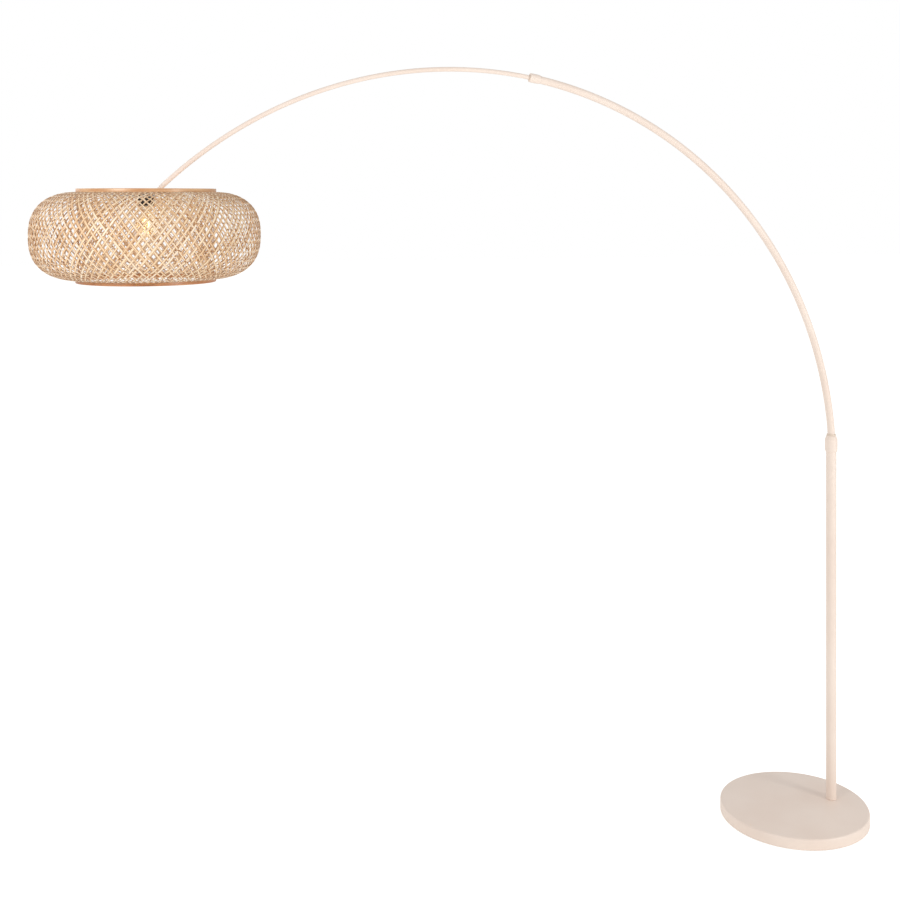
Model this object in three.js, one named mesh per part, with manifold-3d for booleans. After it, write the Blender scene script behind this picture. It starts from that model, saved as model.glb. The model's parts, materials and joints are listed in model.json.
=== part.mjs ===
// Arc floor lamp with a woven bamboo shade, in millimetres, +Z up.
// The origin is the centre of the base's underside, and the arc reaches out along -X.
import * as THREE from 'three';
import { mergeVertices } from 'three/addons/utils/BufferGeometryUtils.js';
import Module from 'manifold-3d';

const wasm = await Module();
wasm.setup();

// Gap left between two pieces that rest on each other, and how far a cut runs past what it cuts
const seatGap = 0.25;
const overrun = 4;
// Keeps a station's own share of a path from falling into the step before it
const stationSlack = 1e-9;

// Base: a pressed cover over a cast disc, on a foam pad
const baseDiameter = 400;
const baseHeight = 30;
const coverWall = 1.5;
const coverEdgeRadius = 3.5;
const coverLift = 1;
const padDiameter = 376;
const padThickness = 3;
const weightSideGap = 4.5;
const weightThickness = 18;
const weightRimWidth = 10;
const weightBossDiameter = 70;
const channelWidth = 16;
const channelHeight = 9;

// Cable gland in the rear of the base's rim
const glandHeight = 12;
const glandBoreDiameter = 7;
const glandNeckDiameter = 10;
const glandFlangeDiameter = 14;
const glandFlangeThickness = 2;
const glandClearance = 0.4;

// Post and what bolts it to the base
const postOffset = 116;
const postDiameter = 28;
const postWall = 1.5;
const boltDiameter = 12;
const boltBoreDiameter = 7;
const boltHeadAcross = 19;
const boltHeadHeight = 8;
const boltClearance = 0.4;
const washerDiameter = 30;
const washerThickness = 2.5;
const pocketDiameter = 34;
const pocketDepth = 13;
const plugHeight = 28;
const plugClearance = 0.3;

// Collar and collet on the post's top
const collarTopHeight = 1043;
const collarHeight = 45;
const collarDiameter = 34;
const collarConeHeight = 11;
const collarMouthWall = 1.3;
const collarFootTaper = 5;
const collarFootWall = 0.6;
const collarClearance = 0.3;
const colletWall = 1.2;
const colletFlangeThickness = 2.5;
const colletDepth = 32;
const colletLipWidth = 0.8;
const colletLipHeight = 4;
const postTopDrop = 24;

// Lower arc: a straight tail in the post, a short tighter bend, then the long arc
const bendStartDrop = 2;
const tailLength = 380;
const leadInRadius = 300;
const leadInAngle = THREE.MathUtils.degToRad(6.2);
const arcRadius = 1080;
const lowerTubeDiameter = 20;
const lowerTubeWall = 1.5;
const lowerArcLength = 1419;
const tubeClearance = 0.4;

// Bush on the tail, which slides in the post
const glideLength = 44;
const glideFloor = 4;
const glideFloorBore = 13;

// Upper arc: it slides in the lower one, and ends a little before the knuckle's pivot
const upperTubeDiameter = 12;
const upperTubeWall = 1;
const upperArcReach = 1035;
const upperArcOverlap = 250;
const upperGlideLength = 30;
const upperGlideWall = 1.6;

// Collar and collet on the lower arc's free end
const arcCollarLength = 29;
const arcCollarDiameter = 24;
const arcCollarNose = 3;
const arcCollarEdgeRadius = 3;
const arcCollarTaper = 7;
const arcColletDepth = 21;
const arcColletFlange = 1.5;
const arcColletLipHeight = 1.5;

// Knuckle between the upper arc and the lamp head
const knuckleReach = 26;
const knuckleEyeRadius = 5;
const knuckleTongue = 3.4;
const knuckleSlot = 4;
const forkWidth = 10;
const forkSlotDepth = 7.5;
const forkSetback = 16;
const forkShoulder = 7;
const forkSpigotLength = 9;
const forkSpigotClearance = 0.6;
const forkBite = 0.5;
const pivotDiameter = 4;
const pivotClearance = 0.2;
const screwHeadDiameter = 7.5;
const screwHeadHeight = 2.5;
const pivotNutAcross = 7;
const pivotNutHeight = 3.2;
const screwTail = 1.5;

// Knuckle plate, nipple and nut on the lamp holder
const plateDrop = 1.5;
const plateThickness = 2;
const plateRadius = 10;
const nippleDiameter = 10;
const nippleBoreDiameter = 7;
const nippleClearance = 0.3;
const nippleNutAcross = 14;
const nippleNutHeight = 4;
const nippleTail = 1.5;

// Lamp holder
const holderCapDiameter = 40;
const holderCapHeight = 10.5;
const holderCapDome = 4;
const holderWall = 2;
const holderBodyDiameter = 35.6;
const holderBodyInCap = 6;
const holderMouthDrop = 37;
const insertFlange = 2;
const insertPlug = 4.25;
const insertFlangeDiameter = 31.6;
const insertBoreDiameter = 4;
const holderClearance = 0.4;
const contactDiameter = 8;
const contactThickness = 0.75;
const shellInnerDiameter = 27;
const shellWall = 0.5;
const shellMouthInset = 3;
const shadeRingDiameter = 41;
const shadeRingHeight = 8;

// Spider that carries the shade
const spiderPlateDiameter = 50;
const spiderPlateThickness = 1.5;
const spiderArms = 3;
const spiderFirstAngle = THREE.MathUtils.degToRad(60);
const spiderWireDiameter = 4;
const spiderTabWidth = 18;
const spiderTabHeight = 7;
const spiderTabThickness = 1.5;
const spiderWireShift = -4;
const hoopScrewShift = 5;
const hoopScrewDiameter = 2.8;
const hoopScrewClearance = 0.3;
const hoopScrewHeadDiameter = 6;
const hoopScrewHeadHeight = 1.8;
const hoopScrewBite = 7;

// Shade: two hoops, a bulging woven layer outside and an upright one inside
const hoopPlaneDrop = 0.5;
const hoopSpacing = 215.5;
const hoopDiameter = 330;
const hoopWidth = 9;
const hoopHeight = 9;
const shadeDiameter = 545;
const outerWeaveThickness = 3;
const innerWeaveThickness = 3;
const weaveGap = 1;
// How square the bulge is: the power of the height, and the power of what is left
const bulgeHeightPower = 2.5;
const bulgeWidthPower = 0.45;
// Plain diamond openings stand for the gaps between the splints; a share of one fills the layer
const openingShare = 0.6;
const outerOpeningsAround = 24;
const outerOpeningRows = 5;
const innerOpeningsAround = 12;
const innerOpeningRows = 3;
const openingReach = 30;

// Clear lamp
const bulbDiameter = 60;
const bulbGlassLength = 77.5;
const bulbNeckDiameter = 25;
const bulbNeckLength = 8;
const bulbGlassWall = 1;
const bulbShoulderAngle = THREE.MathUtils.degToRad(40);
const bulbCapDiameter = 26.2;
const bulbCapLength = 23;
const bulbCapWall = 0.7;
const bulbTipDiameter = 9;
const bulbTipHeight = 2;
const stemDiameter = 6;
const stemLength = 34;
const stemFlareHeight = 2;
const stemClearance = 0.4;
const filamentDiameter = 1.8;
const filamentLength = 34;
const filamentCount = 4;
const filamentTopSpread = 16;
const filamentFootSpread = 10;
const filamentHubWall = 1.2;

// Facets round each kind of piece, and steps along each tube
const baseSides = 60;
const shadeSides = 48;
const postSides = 24;
const lowerTubeSides = 16;
const upperTubeSides = 14;
const smallSides = 20;
const pinSides = 12;
const wireSides = 8;
const lowerArcSteps = 28;
const lowerArcEndSteps = 3;
const upperArcSteps = 38;
const shortBendSteps = 3;
const hexagonSides = 6;
const bulgeSteps = 10;
const facetFlatness = 0.005;
const filletSteps = 3;

// Radii and levels worked out from the sizes above
const openingTurn = Math.PI / 2 / shadeSides;
const baseRadius = baseDiameter / 2;
const coverInnerRadius = baseRadius - coverWall;
const weightRadius = coverInnerRadius - weightSideGap;
const weightBottom = padThickness + seatGap;
const weightTop = weightBottom + weightThickness;
const weightRimTop = baseHeight - coverWall - seatGap;
const washerTop = weightBottom + pocketDepth - seatGap;
const boltHeadTop = washerTop - washerThickness - seatGap;
const postRadius = postDiameter / 2;
const postBoreRadius = postRadius - postWall;
const postBottom = baseHeight + seatGap;
const postTop = collarTopHeight - postTopDrop;
const lowerTubeRadius = lowerTubeDiameter / 2;
const lowerBoreRadius = lowerTubeRadius - lowerTubeWall;
const upperTubeRadius = upperTubeDiameter / 2;
const upperBoreRadius = upperTubeRadius - upperTubeWall;
const bendStart = collarTopHeight - bendStartDrop;
const leadInLength = leadInRadius * leadInAngle;
const arcCentreX = postOffset - leadInRadius + (leadInRadius - arcRadius) * Math.cos(leadInAngle);
const arcCentreZ = bendStart + (leadInRadius - arcRadius) * Math.sin(leadInAngle);

// A place on the arc's centre line, by its distance from the start of the bend; the tail is below zero.
// lean is the tangent's angle from +Z towards -X.
function arcPlace(distance) {
  if (distance <= 0) {
    return { x: postOffset, z: bendStart + distance, lean: 0 };
  }
  if (distance <= leadInLength) {
    const lean = distance / leadInRadius;
    const x = postOffset - leadInRadius * (1 - Math.cos(lean));
    return { x, z: bendStart + leadInRadius * Math.sin(lean), lean };
  }
  const lean = leadInAngle + (distance - leadInLength) / arcRadius;
  return { x: arcCentreX + arcRadius * Math.cos(lean), z: arcCentreZ + arcRadius * Math.sin(lean), lean };
}

const pivotDistance = lowerArcLength + upperArcReach;
const pivot = arcPlace(pivotDistance);
const shadeX = pivot.x - knuckleReach;
const hoopPlane = pivot.z - hoopPlaneDrop;
const lowerHoopPlane = hoopPlane - hoopSpacing;
const hoopRadius = hoopDiameter / 2;
const hoopInnerRadius = hoopRadius - hoopWidth;
const plateTop = pivot.z - plateDrop;
const plateBottom = plateTop - plateThickness;
const capTop = plateBottom - seatGap;
const capBottom = capTop - holderCapHeight;
const capRadius = holderCapDiameter / 2;
const capInnerRadius = capRadius - holderWall + holderClearance;
const bodyRadius = holderBodyDiameter / 2;
const bodyInnerRadius = bodyRadius - holderWall;
const bodyTop = capBottom + holderBodyInCap;
const bodyMouth = pivot.z - holderMouthDrop;
const insertBottom = bodyTop + seatGap - insertPlug;
const contactBottom = insertBottom - seatGap - contactThickness;
const spiderPlateTop = capBottom - seatGap;
const spiderPlateBottom = spiderPlateTop - spiderPlateThickness;
const shadeRingTop = spiderPlateBottom - seatGap;
const glassTop = bodyMouth - seatGap;
const neckRadius = bulbNeckDiameter / 2;

// Finishes
function finish(color, roughness, metalness = 0) {
  return new THREE.MeshStandardMaterial({ color, roughness, metalness });
}
const creamPaint = finish('#f3e4d4', 0.5);
const castIron = finish('#4a4a4c', 0.7, 0.8);
const blackFoam = finish('#2c2c2e', 0.9);
const blackRubber = finish('#1e1e20', 0.8);
const blackPlastic = finish('#141416', 0.35);
const creamNylon = finish('#e6d6c4', 0.45);
const zincSteel = finish('#b8bcc0', 0.35, 1);
const brass = finish('#c9a45c', 0.3, 1);
const porcelain = finish('#ece8e0', 0.4);
const ashWood = finish('#d9a56f', 0.55);
const bamboo = finish('#e3c08c', 0.6);
const clearGlass = new THREE.MeshStandardMaterial({
  color: '#fff4e0', roughness: 0.05, transparent: true, opacity: 0.35,
});
const glowingPhosphor = finish('#ffc46a', 0.5);

const lamp = new THREE.Group();

// Adds a named piece to a group
function piece(name, geometry, material, group = lamp) {
  const mesh = new THREE.Mesh(geometry, material);
  mesh.name = name;
  group.add(mesh);
  return mesh;
}

// The geometry with shared vertices merged and empty triangles dropped
function welded(geometry) {
  const bare = geometry.clone();
  bare.deleteAttribute('normal');
  bare.deleteAttribute('uv');
  const merged = mergeVertices(bare);
  const index = Array.from(merged.index.array);
  const kept = [];
  for (let i = 0; i < index.length; i += 3) {
    const [a, b, c] = index.slice(i, i + 3);
    if (a !== b && b !== c && c !== a) {
      kept.push(a, b, c);
    }
  }
  merged.setIndex(kept);
  return merged;
}

function toSolid(geometry) {
  const closed = welded(geometry);
  const vertProperties = new Float32Array(closed.attributes.position.array);
  const triVerts = new Uint32Array(closed.index.array);
  return new wasm.Manifold(new wasm.Mesh({ numProp: 3, vertProperties, triVerts }));
}

function fromSolid(solid) {
  const mesh = solid.getMesh();
  const geometry = new THREE.BufferGeometry();
  const position = new THREE.BufferAttribute(new Float32Array(mesh.vertProperties), mesh.numProp);
  geometry.setAttribute('position', position);
  geometry.setIndex(Array.from(mesh.triVerts));
  geometry.computeVertexNormals();
  return geometry;
}

function cut(body, ...tools) {
  let solid = toSolid(body);
  for (const tool of tools) {
    solid = solid.subtract(toSolid(tool));
  }
  return fromSolid(solid);
}

function joined(first, ...others) {
  let solid = toSolid(first);
  for (const other of others) {
    solid = solid.add(toSolid(other));
  }
  return fromSolid(solid);
}

// A turned solid about Z, from an outline of [radius, height] points listed anticlockwise
function turned(outline, sides) {
  const points = outline.map(([radius, height]) => new THREE.Vector2(radius, height));
  const closesOnAxis = outline[0][0] === 0 && outline.at(-1)[0] === 0;
  if (!closesOnAxis) {
    points.push(points[0].clone());
  }
  return new THREE.LatheGeometry(points, sides).rotateX(Math.PI / 2);
}

function disc(radius, bottom, top, sides) {
  return turned([[0, bottom], [radius, bottom], [radius, top], [0, top]], sides);
}

function pipe(outer, inner, bottom, top, sides) {
  return turned([[outer, bottom], [outer, top], [inner, top], [inner, bottom]], sides);
}

// Points of a quarter-round or other arc in an outline, with its ends
function roundPoints(centreR, centreZ, radius, from, to, steps = filletSteps) {
  const points = [];
  for (let i = 0; i <= steps; i += 1) {
    const angle = from + ((to - from) * i) / steps;
    points.push([centreR + radius * Math.cos(angle), centreZ + radius * Math.sin(angle)]);
  }
  return points;
}

function circlePoints(radius, sides) {
  const points = [];
  for (let i = 0; i < sides; i += 1) {
    const angle = (2 * Math.PI * i) / sides;
    points.push(new THREE.Vector2(radius * Math.cos(angle), radius * Math.sin(angle)));
  }
  return points;
}

function hexagonRadius(across) {
  return across / 2 / Math.cos(Math.PI / hexagonSides);
}

// A hexagon nut or head with a bore, from bottom to top; across is the width across its flats
function hexagon(across, boreRadius, bottom, top, boreSides) {
  const shape = new THREE.Shape(circlePoints(hexagonRadius(across), hexagonSides));
  shape.holes.push(new THREE.Path(circlePoints(boreRadius, boreSides).reverse()));
  const geometry = new THREE.ExtrudeGeometry(shape, { depth: top - bottom, bevelEnabled: false });
  return geometry.translate(0, 0, bottom);
}

// A straight round rod between two points
function rod(from, to, radius, sides) {
  const along = new THREE.Vector3().subVectors(to, from);
  const geometry = new THREE.CylinderGeometry(radius, radius, along.length(), sides);
  const ownAxis = new THREE.Vector3(0, 1, 0);
  geometry.applyQuaternion(new THREE.Quaternion().setFromUnitVectors(ownAxis, along.normalize()));
  const middle = new THREE.Vector3().addVectors(from, to).divideScalar(2);
  return geometry.translate(middle.x, middle.y, middle.z);
}

// The arc's centre line through a list of stations, each a distance along it
class ArcLine extends THREE.Curve {
  constructor(stations) {
    super();
    this.stations = stations;
  }

  placeAt(share) {
    const last = this.stations.length - 1;
    const step = Math.min(Math.floor(share * last + stationSlack), last - 1);
    const within = share * last - step;
    return arcPlace(THREE.MathUtils.lerp(this.stations[step], this.stations[step + 1], within));
  }

  getPoint(share, target = new THREE.Vector3()) {
    const place = this.placeAt(share);
    return target.set(place.x, 0, place.z);
  }

  getPointAt(share, target) {
    return this.getPoint(share, target);
  }

  getTangent(share, target = new THREE.Vector3()) {
    const { lean } = this.placeAt(share);
    return target.set(-Math.sin(lean), 0, Math.cos(lean));
  }

  getTangentAt(share, target) {
    return this.getTangent(share, target);
  }
}

function evenStations(from, to, steps) {
  return Array.from({ length: steps + 1 }, (_, i) => from + ((to - from) * i) / steps);
}

// A tube along the arc's centre line
function arcTube(stations, outer, inner, sides) {
  const shape = new THREE.Shape(circlePoints(outer, sides));
  shape.holes.push(new THREE.Path(circlePoints(inner, sides).reverse()));
  const extrudePath = new ArcLine(stations);
  return new THREE.ExtrudeGeometry(shape, { steps: stations.length - 1, extrudePath, bevelEnabled: false });
}

// A group whose +Z runs along the arc at a distance from the start of the bend
function groupOnArc(distance) {
  const place = arcPlace(distance);
  const group = new THREE.Group();
  group.position.set(place.x, 0, place.z);
  group.rotation.y = -place.lean;
  lamp.add(group);
  return group;
}

// Base
function baseCover() {
  const edgeZ = baseHeight - coverEdgeRadius;
  const edgeR = baseRadius - coverEdgeRadius;
  const innerEdge = roundPoints(edgeR, edgeZ, coverEdgeRadius - coverWall, Math.PI / 2, 0);
  const outerEdge = roundPoints(edgeR, edgeZ, coverEdgeRadius, 0, Math.PI / 2);
  const outline = [
    [0, baseHeight - coverWall],
    ...innerEdge,
    [coverInnerRadius, coverLift],
    [baseRadius, coverLift],
    ...outerEdge,
    [0, baseHeight],
  ];
  const holeRadius = boltDiameter / 2 + boltClearance;
  const boltHole = disc(holeRadius, baseHeight - coverWall - overrun, baseHeight + overrun, smallSides);
  boltHole.translate(postOffset, 0, 0);
  const glandHole = disc(glandNeckDiameter / 2 + glandClearance, -overrun, overrun + coverWall, smallSides);
  placeInRim(glandHole);
  return cut(turned(outline, baseSides), boltHole, glandHole);
}

// The gland's axis runs out of the rim straight behind the post. Its local zero is the cover's inner face.
function placeInRim(geometry) {
  const angle = Math.acos(postOffset / baseRadius);
  geometry.rotateY(Math.PI / 2);
  geometry.translate(coverInnerRadius, 0, glandHeight);
  geometry.rotateZ(angle);
  return geometry;
}

function baseWeight() {
  const rimInner = weightRadius - weightRimWidth;
  const outline = [
    [0, weightBottom],
    [weightRadius, weightBottom],
    [weightRadius, weightRimTop],
    [rimInner, weightRimTop],
    [rimInner, weightTop],
    [0, weightTop],
  ];
  const boss = disc(weightBossDiameter / 2, weightBottom, weightRimTop, smallSides);
  boss.translate(postOffset, 0, 0);
  const boltHole = disc(boltDiameter / 2 + boltClearance, -overrun, baseHeight + overrun, smallSides);
  boltHole.translate(postOffset, 0, 0);
  const pocket = disc(pocketDiameter / 2, -overrun, weightBottom + pocketDepth, smallSides);
  pocket.translate(postOffset, 0, 0);
  const channel = new THREE.BoxGeometry(channelWidth, baseRadius, channelHeight + overrun);
  channel.translate(postOffset, baseRadius / 2, weightBottom + (channelHeight - overrun) / 2);
  return cut(joined(turned(outline, baseSides), boss), boltHole, pocket, channel);
}

function cableGland() {
  const bore = glandBoreDiameter / 2;
  const neck = glandNeckDiameter / 2;
  const flange = glandFlangeDiameter / 2;
  const neckStart = -glandClearance;
  const neckEnd = coverWall + glandClearance;
  const outline = [
    [bore, neckStart - glandFlangeThickness],
    [flange, neckStart - glandFlangeThickness],
    [flange, neckStart],
    [neck, neckStart],
    [neck, neckEnd],
    [flange, neckEnd],
    [neck, neckEnd + glandFlangeThickness],
    [bore, neckEnd + glandFlangeThickness],
  ];
  return placeInRim(turned(outline, smallSides));
}

// Post
function hollowBolt() {
  const bore = boltBoreDiameter / 2;
  const head = hexagon(boltHeadAcross, bore, boltHeadTop - boltHeadHeight, boltHeadTop, smallSides);
  const shankTop = postBottom + plugHeight - seatGap;
  const shank = pipe(boltDiameter / 2, bore, boltHeadTop - boltHeadHeight / 2, shankTop, smallSides);
  return joined(head, shank).translate(postOffset, 0, 0);
}

function boltWasher() {
  const bore = boltDiameter / 2 + boltClearance;
  const washer = pipe(washerDiameter / 2, bore, washerTop - washerThickness, washerTop, smallSides);
  return washer.translate(postOffset, 0, 0);
}

function postFootPlug() {
  const outer = postBoreRadius - plugClearance;
  const bore = boltDiameter / 2 + boltClearance;
  return pipe(outer, bore, postBottom, postBottom + plugHeight, postSides).translate(postOffset, 0, 0);
}

function postTube() {
  return pipe(postRadius, postBoreRadius, postBottom, postTop, postSides).translate(postOffset, 0, 0);
}

// The collet stands in the post's mouth, with a flange on the rim and a lip above the collar
const postColletBore = lowerTubeRadius + tubeClearance;
const postColletNeck = postColletBore + colletWall;

function postCollet() {
  const sleeve = postBoreRadius - plugClearance;
  const flangeBottom = postTop + seatGap;
  const lipBottom = collarTopHeight + seatGap;
  const outline = [
    [postColletBore, postTop - colletDepth],
    [sleeve, postTop - colletDepth],
    [sleeve, flangeBottom],
    [postRadius, flangeBottom],
    [postRadius, flangeBottom + colletFlangeThickness],
    [postColletNeck, collarTopHeight - collarConeHeight],
    [postColletNeck, lipBottom],
    [postColletNeck + colletLipWidth, lipBottom],
    [postColletNeck + colletLipWidth, lipBottom + colletLipHeight / 2],
    [postColletNeck, lipBottom + colletLipHeight],
    [postColletBore, lipBottom + colletLipHeight],
  ];
  return turned(outline, postSides).translate(postOffset, 0, 0);
}

function postCollar() {
  const radius = collarDiameter / 2;
  const bottom = collarTopHeight - collarHeight;
  const bore = postRadius + collarClearance;
  const mouth = postColletNeck + collarClearance;
  const coneBottom = collarTopHeight - collarConeHeight;
  const flangeTop = postTop + seatGap + colletFlangeThickness;
  const outline = [
    [bore + collarFootWall, bottom],
    [radius, bottom + collarFootTaper],
    [radius, coneBottom],
    [mouth + collarMouthWall, collarTopHeight],
    [mouth, collarTopHeight],
    [mouth, coneBottom + collarMouthWall],
    [bore, flangeTop + seatGap],
    [bore, bottom],
  ];
  return turned(outline, postSides).translate(postOffset, 0, 0);
}

// Lower arc and its bush
function mastGlide() {
  const outer = postBoreRadius - plugClearance;
  const bore = lowerTubeRadius + tubeClearance;
  const tailEnd = bendStart - tailLength;
  const bottom = tailEnd - seatGap - glideFloor;
  const outline = [
    [glideFloorBore / 2, bottom],
    [outer, bottom],
    [outer, bottom + glideLength],
    [bore, bottom + glideLength],
    [bore, tailEnd - seatGap],
    [glideFloorBore / 2, tailEnd - seatGap],
  ];
  return turned(outline, postSides).translate(postOffset, 0, 0);
}

function lowerArc() {
  const collarBack = lowerArcLength - arcCollarLength;
  const leadIn = evenStations(0, leadInLength, shortBendSteps);
  const arc = evenStations(leadInLength, collarBack, lowerArcSteps).slice(1);
  const inCollar = evenStations(collarBack, lowerArcLength, lowerArcEndSteps).slice(1);
  const stations = [-tailLength, ...leadIn, ...arc, ...inCollar];
  return arcTube(stations, lowerTubeRadius, lowerBoreRadius, lowerTubeSides);
}

// The collet stands in the lower arc's open end; local zero is that end's face, +Z points along the arc
const arcColletBore = upperTubeRadius + tubeClearance;
const arcColletLip = arcColletBore + colletWall;

function arcCollet() {
  const sleeve = lowerBoreRadius - tubeClearance;
  const flangeBottom = seatGap;
  const flangeTop = flangeBottom + arcColletFlange;
  const lipTop = flangeTop + arcCollarNose + arcColletLipHeight;
  const outline = [
    [arcColletBore, -arcColletDepth],
    [sleeve, -arcColletDepth],
    [sleeve, flangeBottom],
    [lowerTubeRadius, flangeBottom],
    [lowerTubeRadius, flangeTop],
    [arcColletLip, flangeTop],
    [arcColletLip, lipTop],
    [arcColletBore, lipTop],
  ];
  return turned(outline, smallSides);
}

function arcCollar() {
  const radius = arcCollarDiameter / 2;
  const bore = lowerTubeRadius + collarClearance + tubeClearance;
  const shoulder = seatGap + arcColletFlange + seatGap;
  const front = shoulder + arcCollarNose - seatGap;
  const back = front - arcCollarLength;
  const mouth = arcColletLip + collarClearance;
  const edgeR = radius - arcCollarEdgeRadius;
  const edgeZ = front - arcCollarEdgeRadius;
  const outline = [
    [bore + collarFootWall, back],
    [radius, back + arcCollarTaper],
    ...roundPoints(edgeR, edgeZ, arcCollarEdgeRadius, 0, Math.PI / 2),
    [mouth, front],
    [mouth, shoulder],
    [bore, shoulder],
    [bore, back],
  ];
  return turned(outline, smallSides);
}

// Upper arc and its bush
const upperArcStart = lowerArcLength - upperArcOverlap;
const upperArcEnd = pivotDistance - forkSetback;

function upperGlide() {
  const stations = evenStations(upperArcStart, upperArcStart + upperGlideLength, shortBendSteps);
  const bore = upperTubeRadius + tubeClearance;
  return arcTube(stations, bore + upperGlideWall, bore, lowerTubeSides);
}

function upperArc() {
  const stations = evenStations(upperArcStart, upperArcEnd, upperArcSteps);
  return arcTube(stations, upperTubeRadius, upperBoreRadius, upperTubeSides);
}

// Knuckle: the fork's local zero is the pivot, and its +Z points on along the arc
function tipFork() {
  const half = knuckleEyeRadius;
  const shape = new THREE.Shape();
  const back = forkShoulder - forkSetback;
  shape.moveTo(-half, back);
  shape.lineTo(half, back);
  shape.lineTo(half, 0);
  shape.absarc(0, 0, half, 0, Math.PI);
  shape.lineTo(-half, back);
  const settings = { depth: forkWidth, bevelEnabled: false, curveSegments: pinSides };
  const block = new THREE.ExtrudeGeometry(shape, settings);
  block.rotateX(Math.PI / 2).translate(0, forkWidth / 2, 0);
  const slotLength = forkSlotDepth + half + overrun;
  const slot = new THREE.BoxGeometry(2 * (half + overrun), knuckleSlot, slotLength);
  slot.translate(0, 0, slotLength / 2 - forkSlotDepth);
  const hole = pinAcross(pivotDiameter / 2 + pivotClearance, forkWidth + overrun);
  const shoulderTop = back + forkBite;
  const shoulder = disc(upperTubeRadius, seatGap - forkSetback, shoulderTop, upperTubeSides);
  const spigotRadius = upperBoreRadius - forkSpigotClearance;
  const spigot = disc(spigotRadius, -forkSetback - forkSpigotLength, shoulderTop, upperTubeSides);
  return cut(joined(block, shoulder, spigot), slot, hole);
}

// A round pin across the fork, along Y and centred on zero
function pinAcross(radius, length) {
  return disc(radius, -length / 2, length / 2, pinSides).rotateX(-Math.PI / 2);
}

function knuckleScrew() {
  const radius = pivotDiameter / 2;
  const headFace = forkWidth / 2 + seatGap;
  const tail = headFace + pivotNutHeight + screwTail;
  const outline = [
    [0, -headFace - screwHeadHeight],
    [screwHeadDiameter / 2, -headFace - screwHeadHeight],
    [screwHeadDiameter / 2, -headFace],
    [radius, -headFace],
    [radius, tail],
    [0, tail],
  ];
  return turned(outline, pinSides).rotateX(-Math.PI / 2);
}

function knuckleNut() {
  const bottom = forkWidth / 2 + seatGap;
  const bore = pivotDiameter / 2 + pivotClearance;
  return hexagon(pivotNutAcross, bore, bottom, bottom + pivotNutHeight, pinSides).rotateX(-Math.PI / 2);
}

// Plate clamped on the lamp holder, with an eye that stands in the fork; local zero is the shade's axis
function headKnuckle() {
  const plate = disc(plateRadius, plateBottom, plateTop, smallSides);
  const eye = disc(knuckleEyeRadius, -knuckleTongue / 2, knuckleTongue / 2, smallSides);
  eye.rotateX(-Math.PI / 2).translate(knuckleReach, 0, pivot.z);
  const tongueStart = hexagonRadius(nippleNutAcross) + seatGap;
  const tongueLength = knuckleReach - tongueStart;
  const tongueHeight = pivot.z + plateThickness - plateBottom;
  const tongue = new THREE.BoxGeometry(tongueLength, knuckleTongue, tongueHeight);
  tongue.translate(tongueStart + tongueLength / 2, 0, plateBottom + tongueHeight / 2);
  const pivotHole = pinAcross(pivotDiameter / 2 + pivotClearance, knuckleTongue + overrun);
  pivotHole.translate(knuckleReach, 0, pivot.z);
  const holeRadius = nippleDiameter / 2 + nippleClearance;
  const nippleHole = disc(holeRadius, plateBottom - overrun, plateTop + overrun, smallSides);
  return cut(joined(plate, tongue, eye), pivotHole, nippleHole);
}

function nipple() {
  const bottom = capTop - holderWall + seatGap;
  const top = plateTop + seatGap + nippleNutHeight + nippleTail;
  return pipe(nippleDiameter / 2, nippleBoreDiameter / 2, bottom, top, smallSides);
}

function nippleNut() {
  const bottom = plateTop + seatGap;
  const bore = nippleDiameter / 2 + nippleClearance;
  return hexagon(nippleNutAcross, bore, bottom, bottom + nippleNutHeight, smallSides);
}

// Lamp holder
function holderCap() {
  const hole = nippleDiameter / 2 + nippleClearance;
  const domeR = capRadius - holderCapDome;
  const domeZ = capTop - holderCapDome;
  const outline = [
    [capInnerRadius, capBottom],
    [capRadius, capBottom],
    ...roundPoints(domeR, domeZ, holderCapDome, 0, Math.PI / 2),
    [hole, capTop],
    [hole, capTop - holderWall],
    [capInnerRadius - holderCapDome / 2, capTop - holderWall],
    [capInnerRadius, capTop - holderCapDome],
  ];
  return turned(outline, postSides);
}

function holderBody() {
  return pipe(bodyRadius, bodyInnerRadius, bodyMouth, bodyTop, postSides);
}

function holderInsert() {
  const plug = bodyInnerRadius - holderClearance;
  const flangeBottom = bodyTop + seatGap;
  const flange = insertFlangeDiameter / 2;
  const bore = insertBoreDiameter / 2;
  const outline = [
    [bore, insertBottom],
    [plug, insertBottom],
    [plug, flangeBottom],
    [flange, flangeBottom],
    [flange, flangeBottom + insertFlange],
    [bore, flangeBottom + insertFlange],
  ];
  return turned(outline, smallSides);
}

function centreContact() {
  return disc(contactDiameter / 2, contactBottom, contactBottom + contactThickness, pinSides);
}

function screwShell() {
  const inner = shellInnerDiameter / 2;
  return pipe(inner + shellWall, inner, bodyMouth + shellMouthInset, insertBottom - seatGap, smallSides);
}

function shadeRing() {
  const bore = bodyRadius + holderClearance;
  return pipe(shadeRingDiameter / 2, bore, shadeRingTop - shadeRingHeight, shadeRingTop, smallSides);
}

// Spider
const hoopFlatRadius = hoopInnerRadius * Math.cos(Math.PI / shadeSides) - seatGap;
const tabFace = Math.sqrt(hoopFlatRadius ** 2 - (spiderTabWidth / 2) ** 2);
const tabMiddle = tabFace - spiderTabThickness / 2;
const hoopScrewHoleRadius = hoopScrewDiameter / 2 + hoopScrewClearance;

function spiderArmAngle(arm) {
  return spiderFirstAngle + (2 * Math.PI * arm) / spiderArms;
}

// A screw's hole or shank, level and pointing out through the hoop
function hoopScrewRod(radius, from, to) {
  const start = new THREE.Vector3(from, hoopScrewShift, hoopPlane);
  const end = new THREE.Vector3(to, hoopScrewShift, hoopPlane);
  return rod(start, end, radius, pinSides);
}

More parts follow.
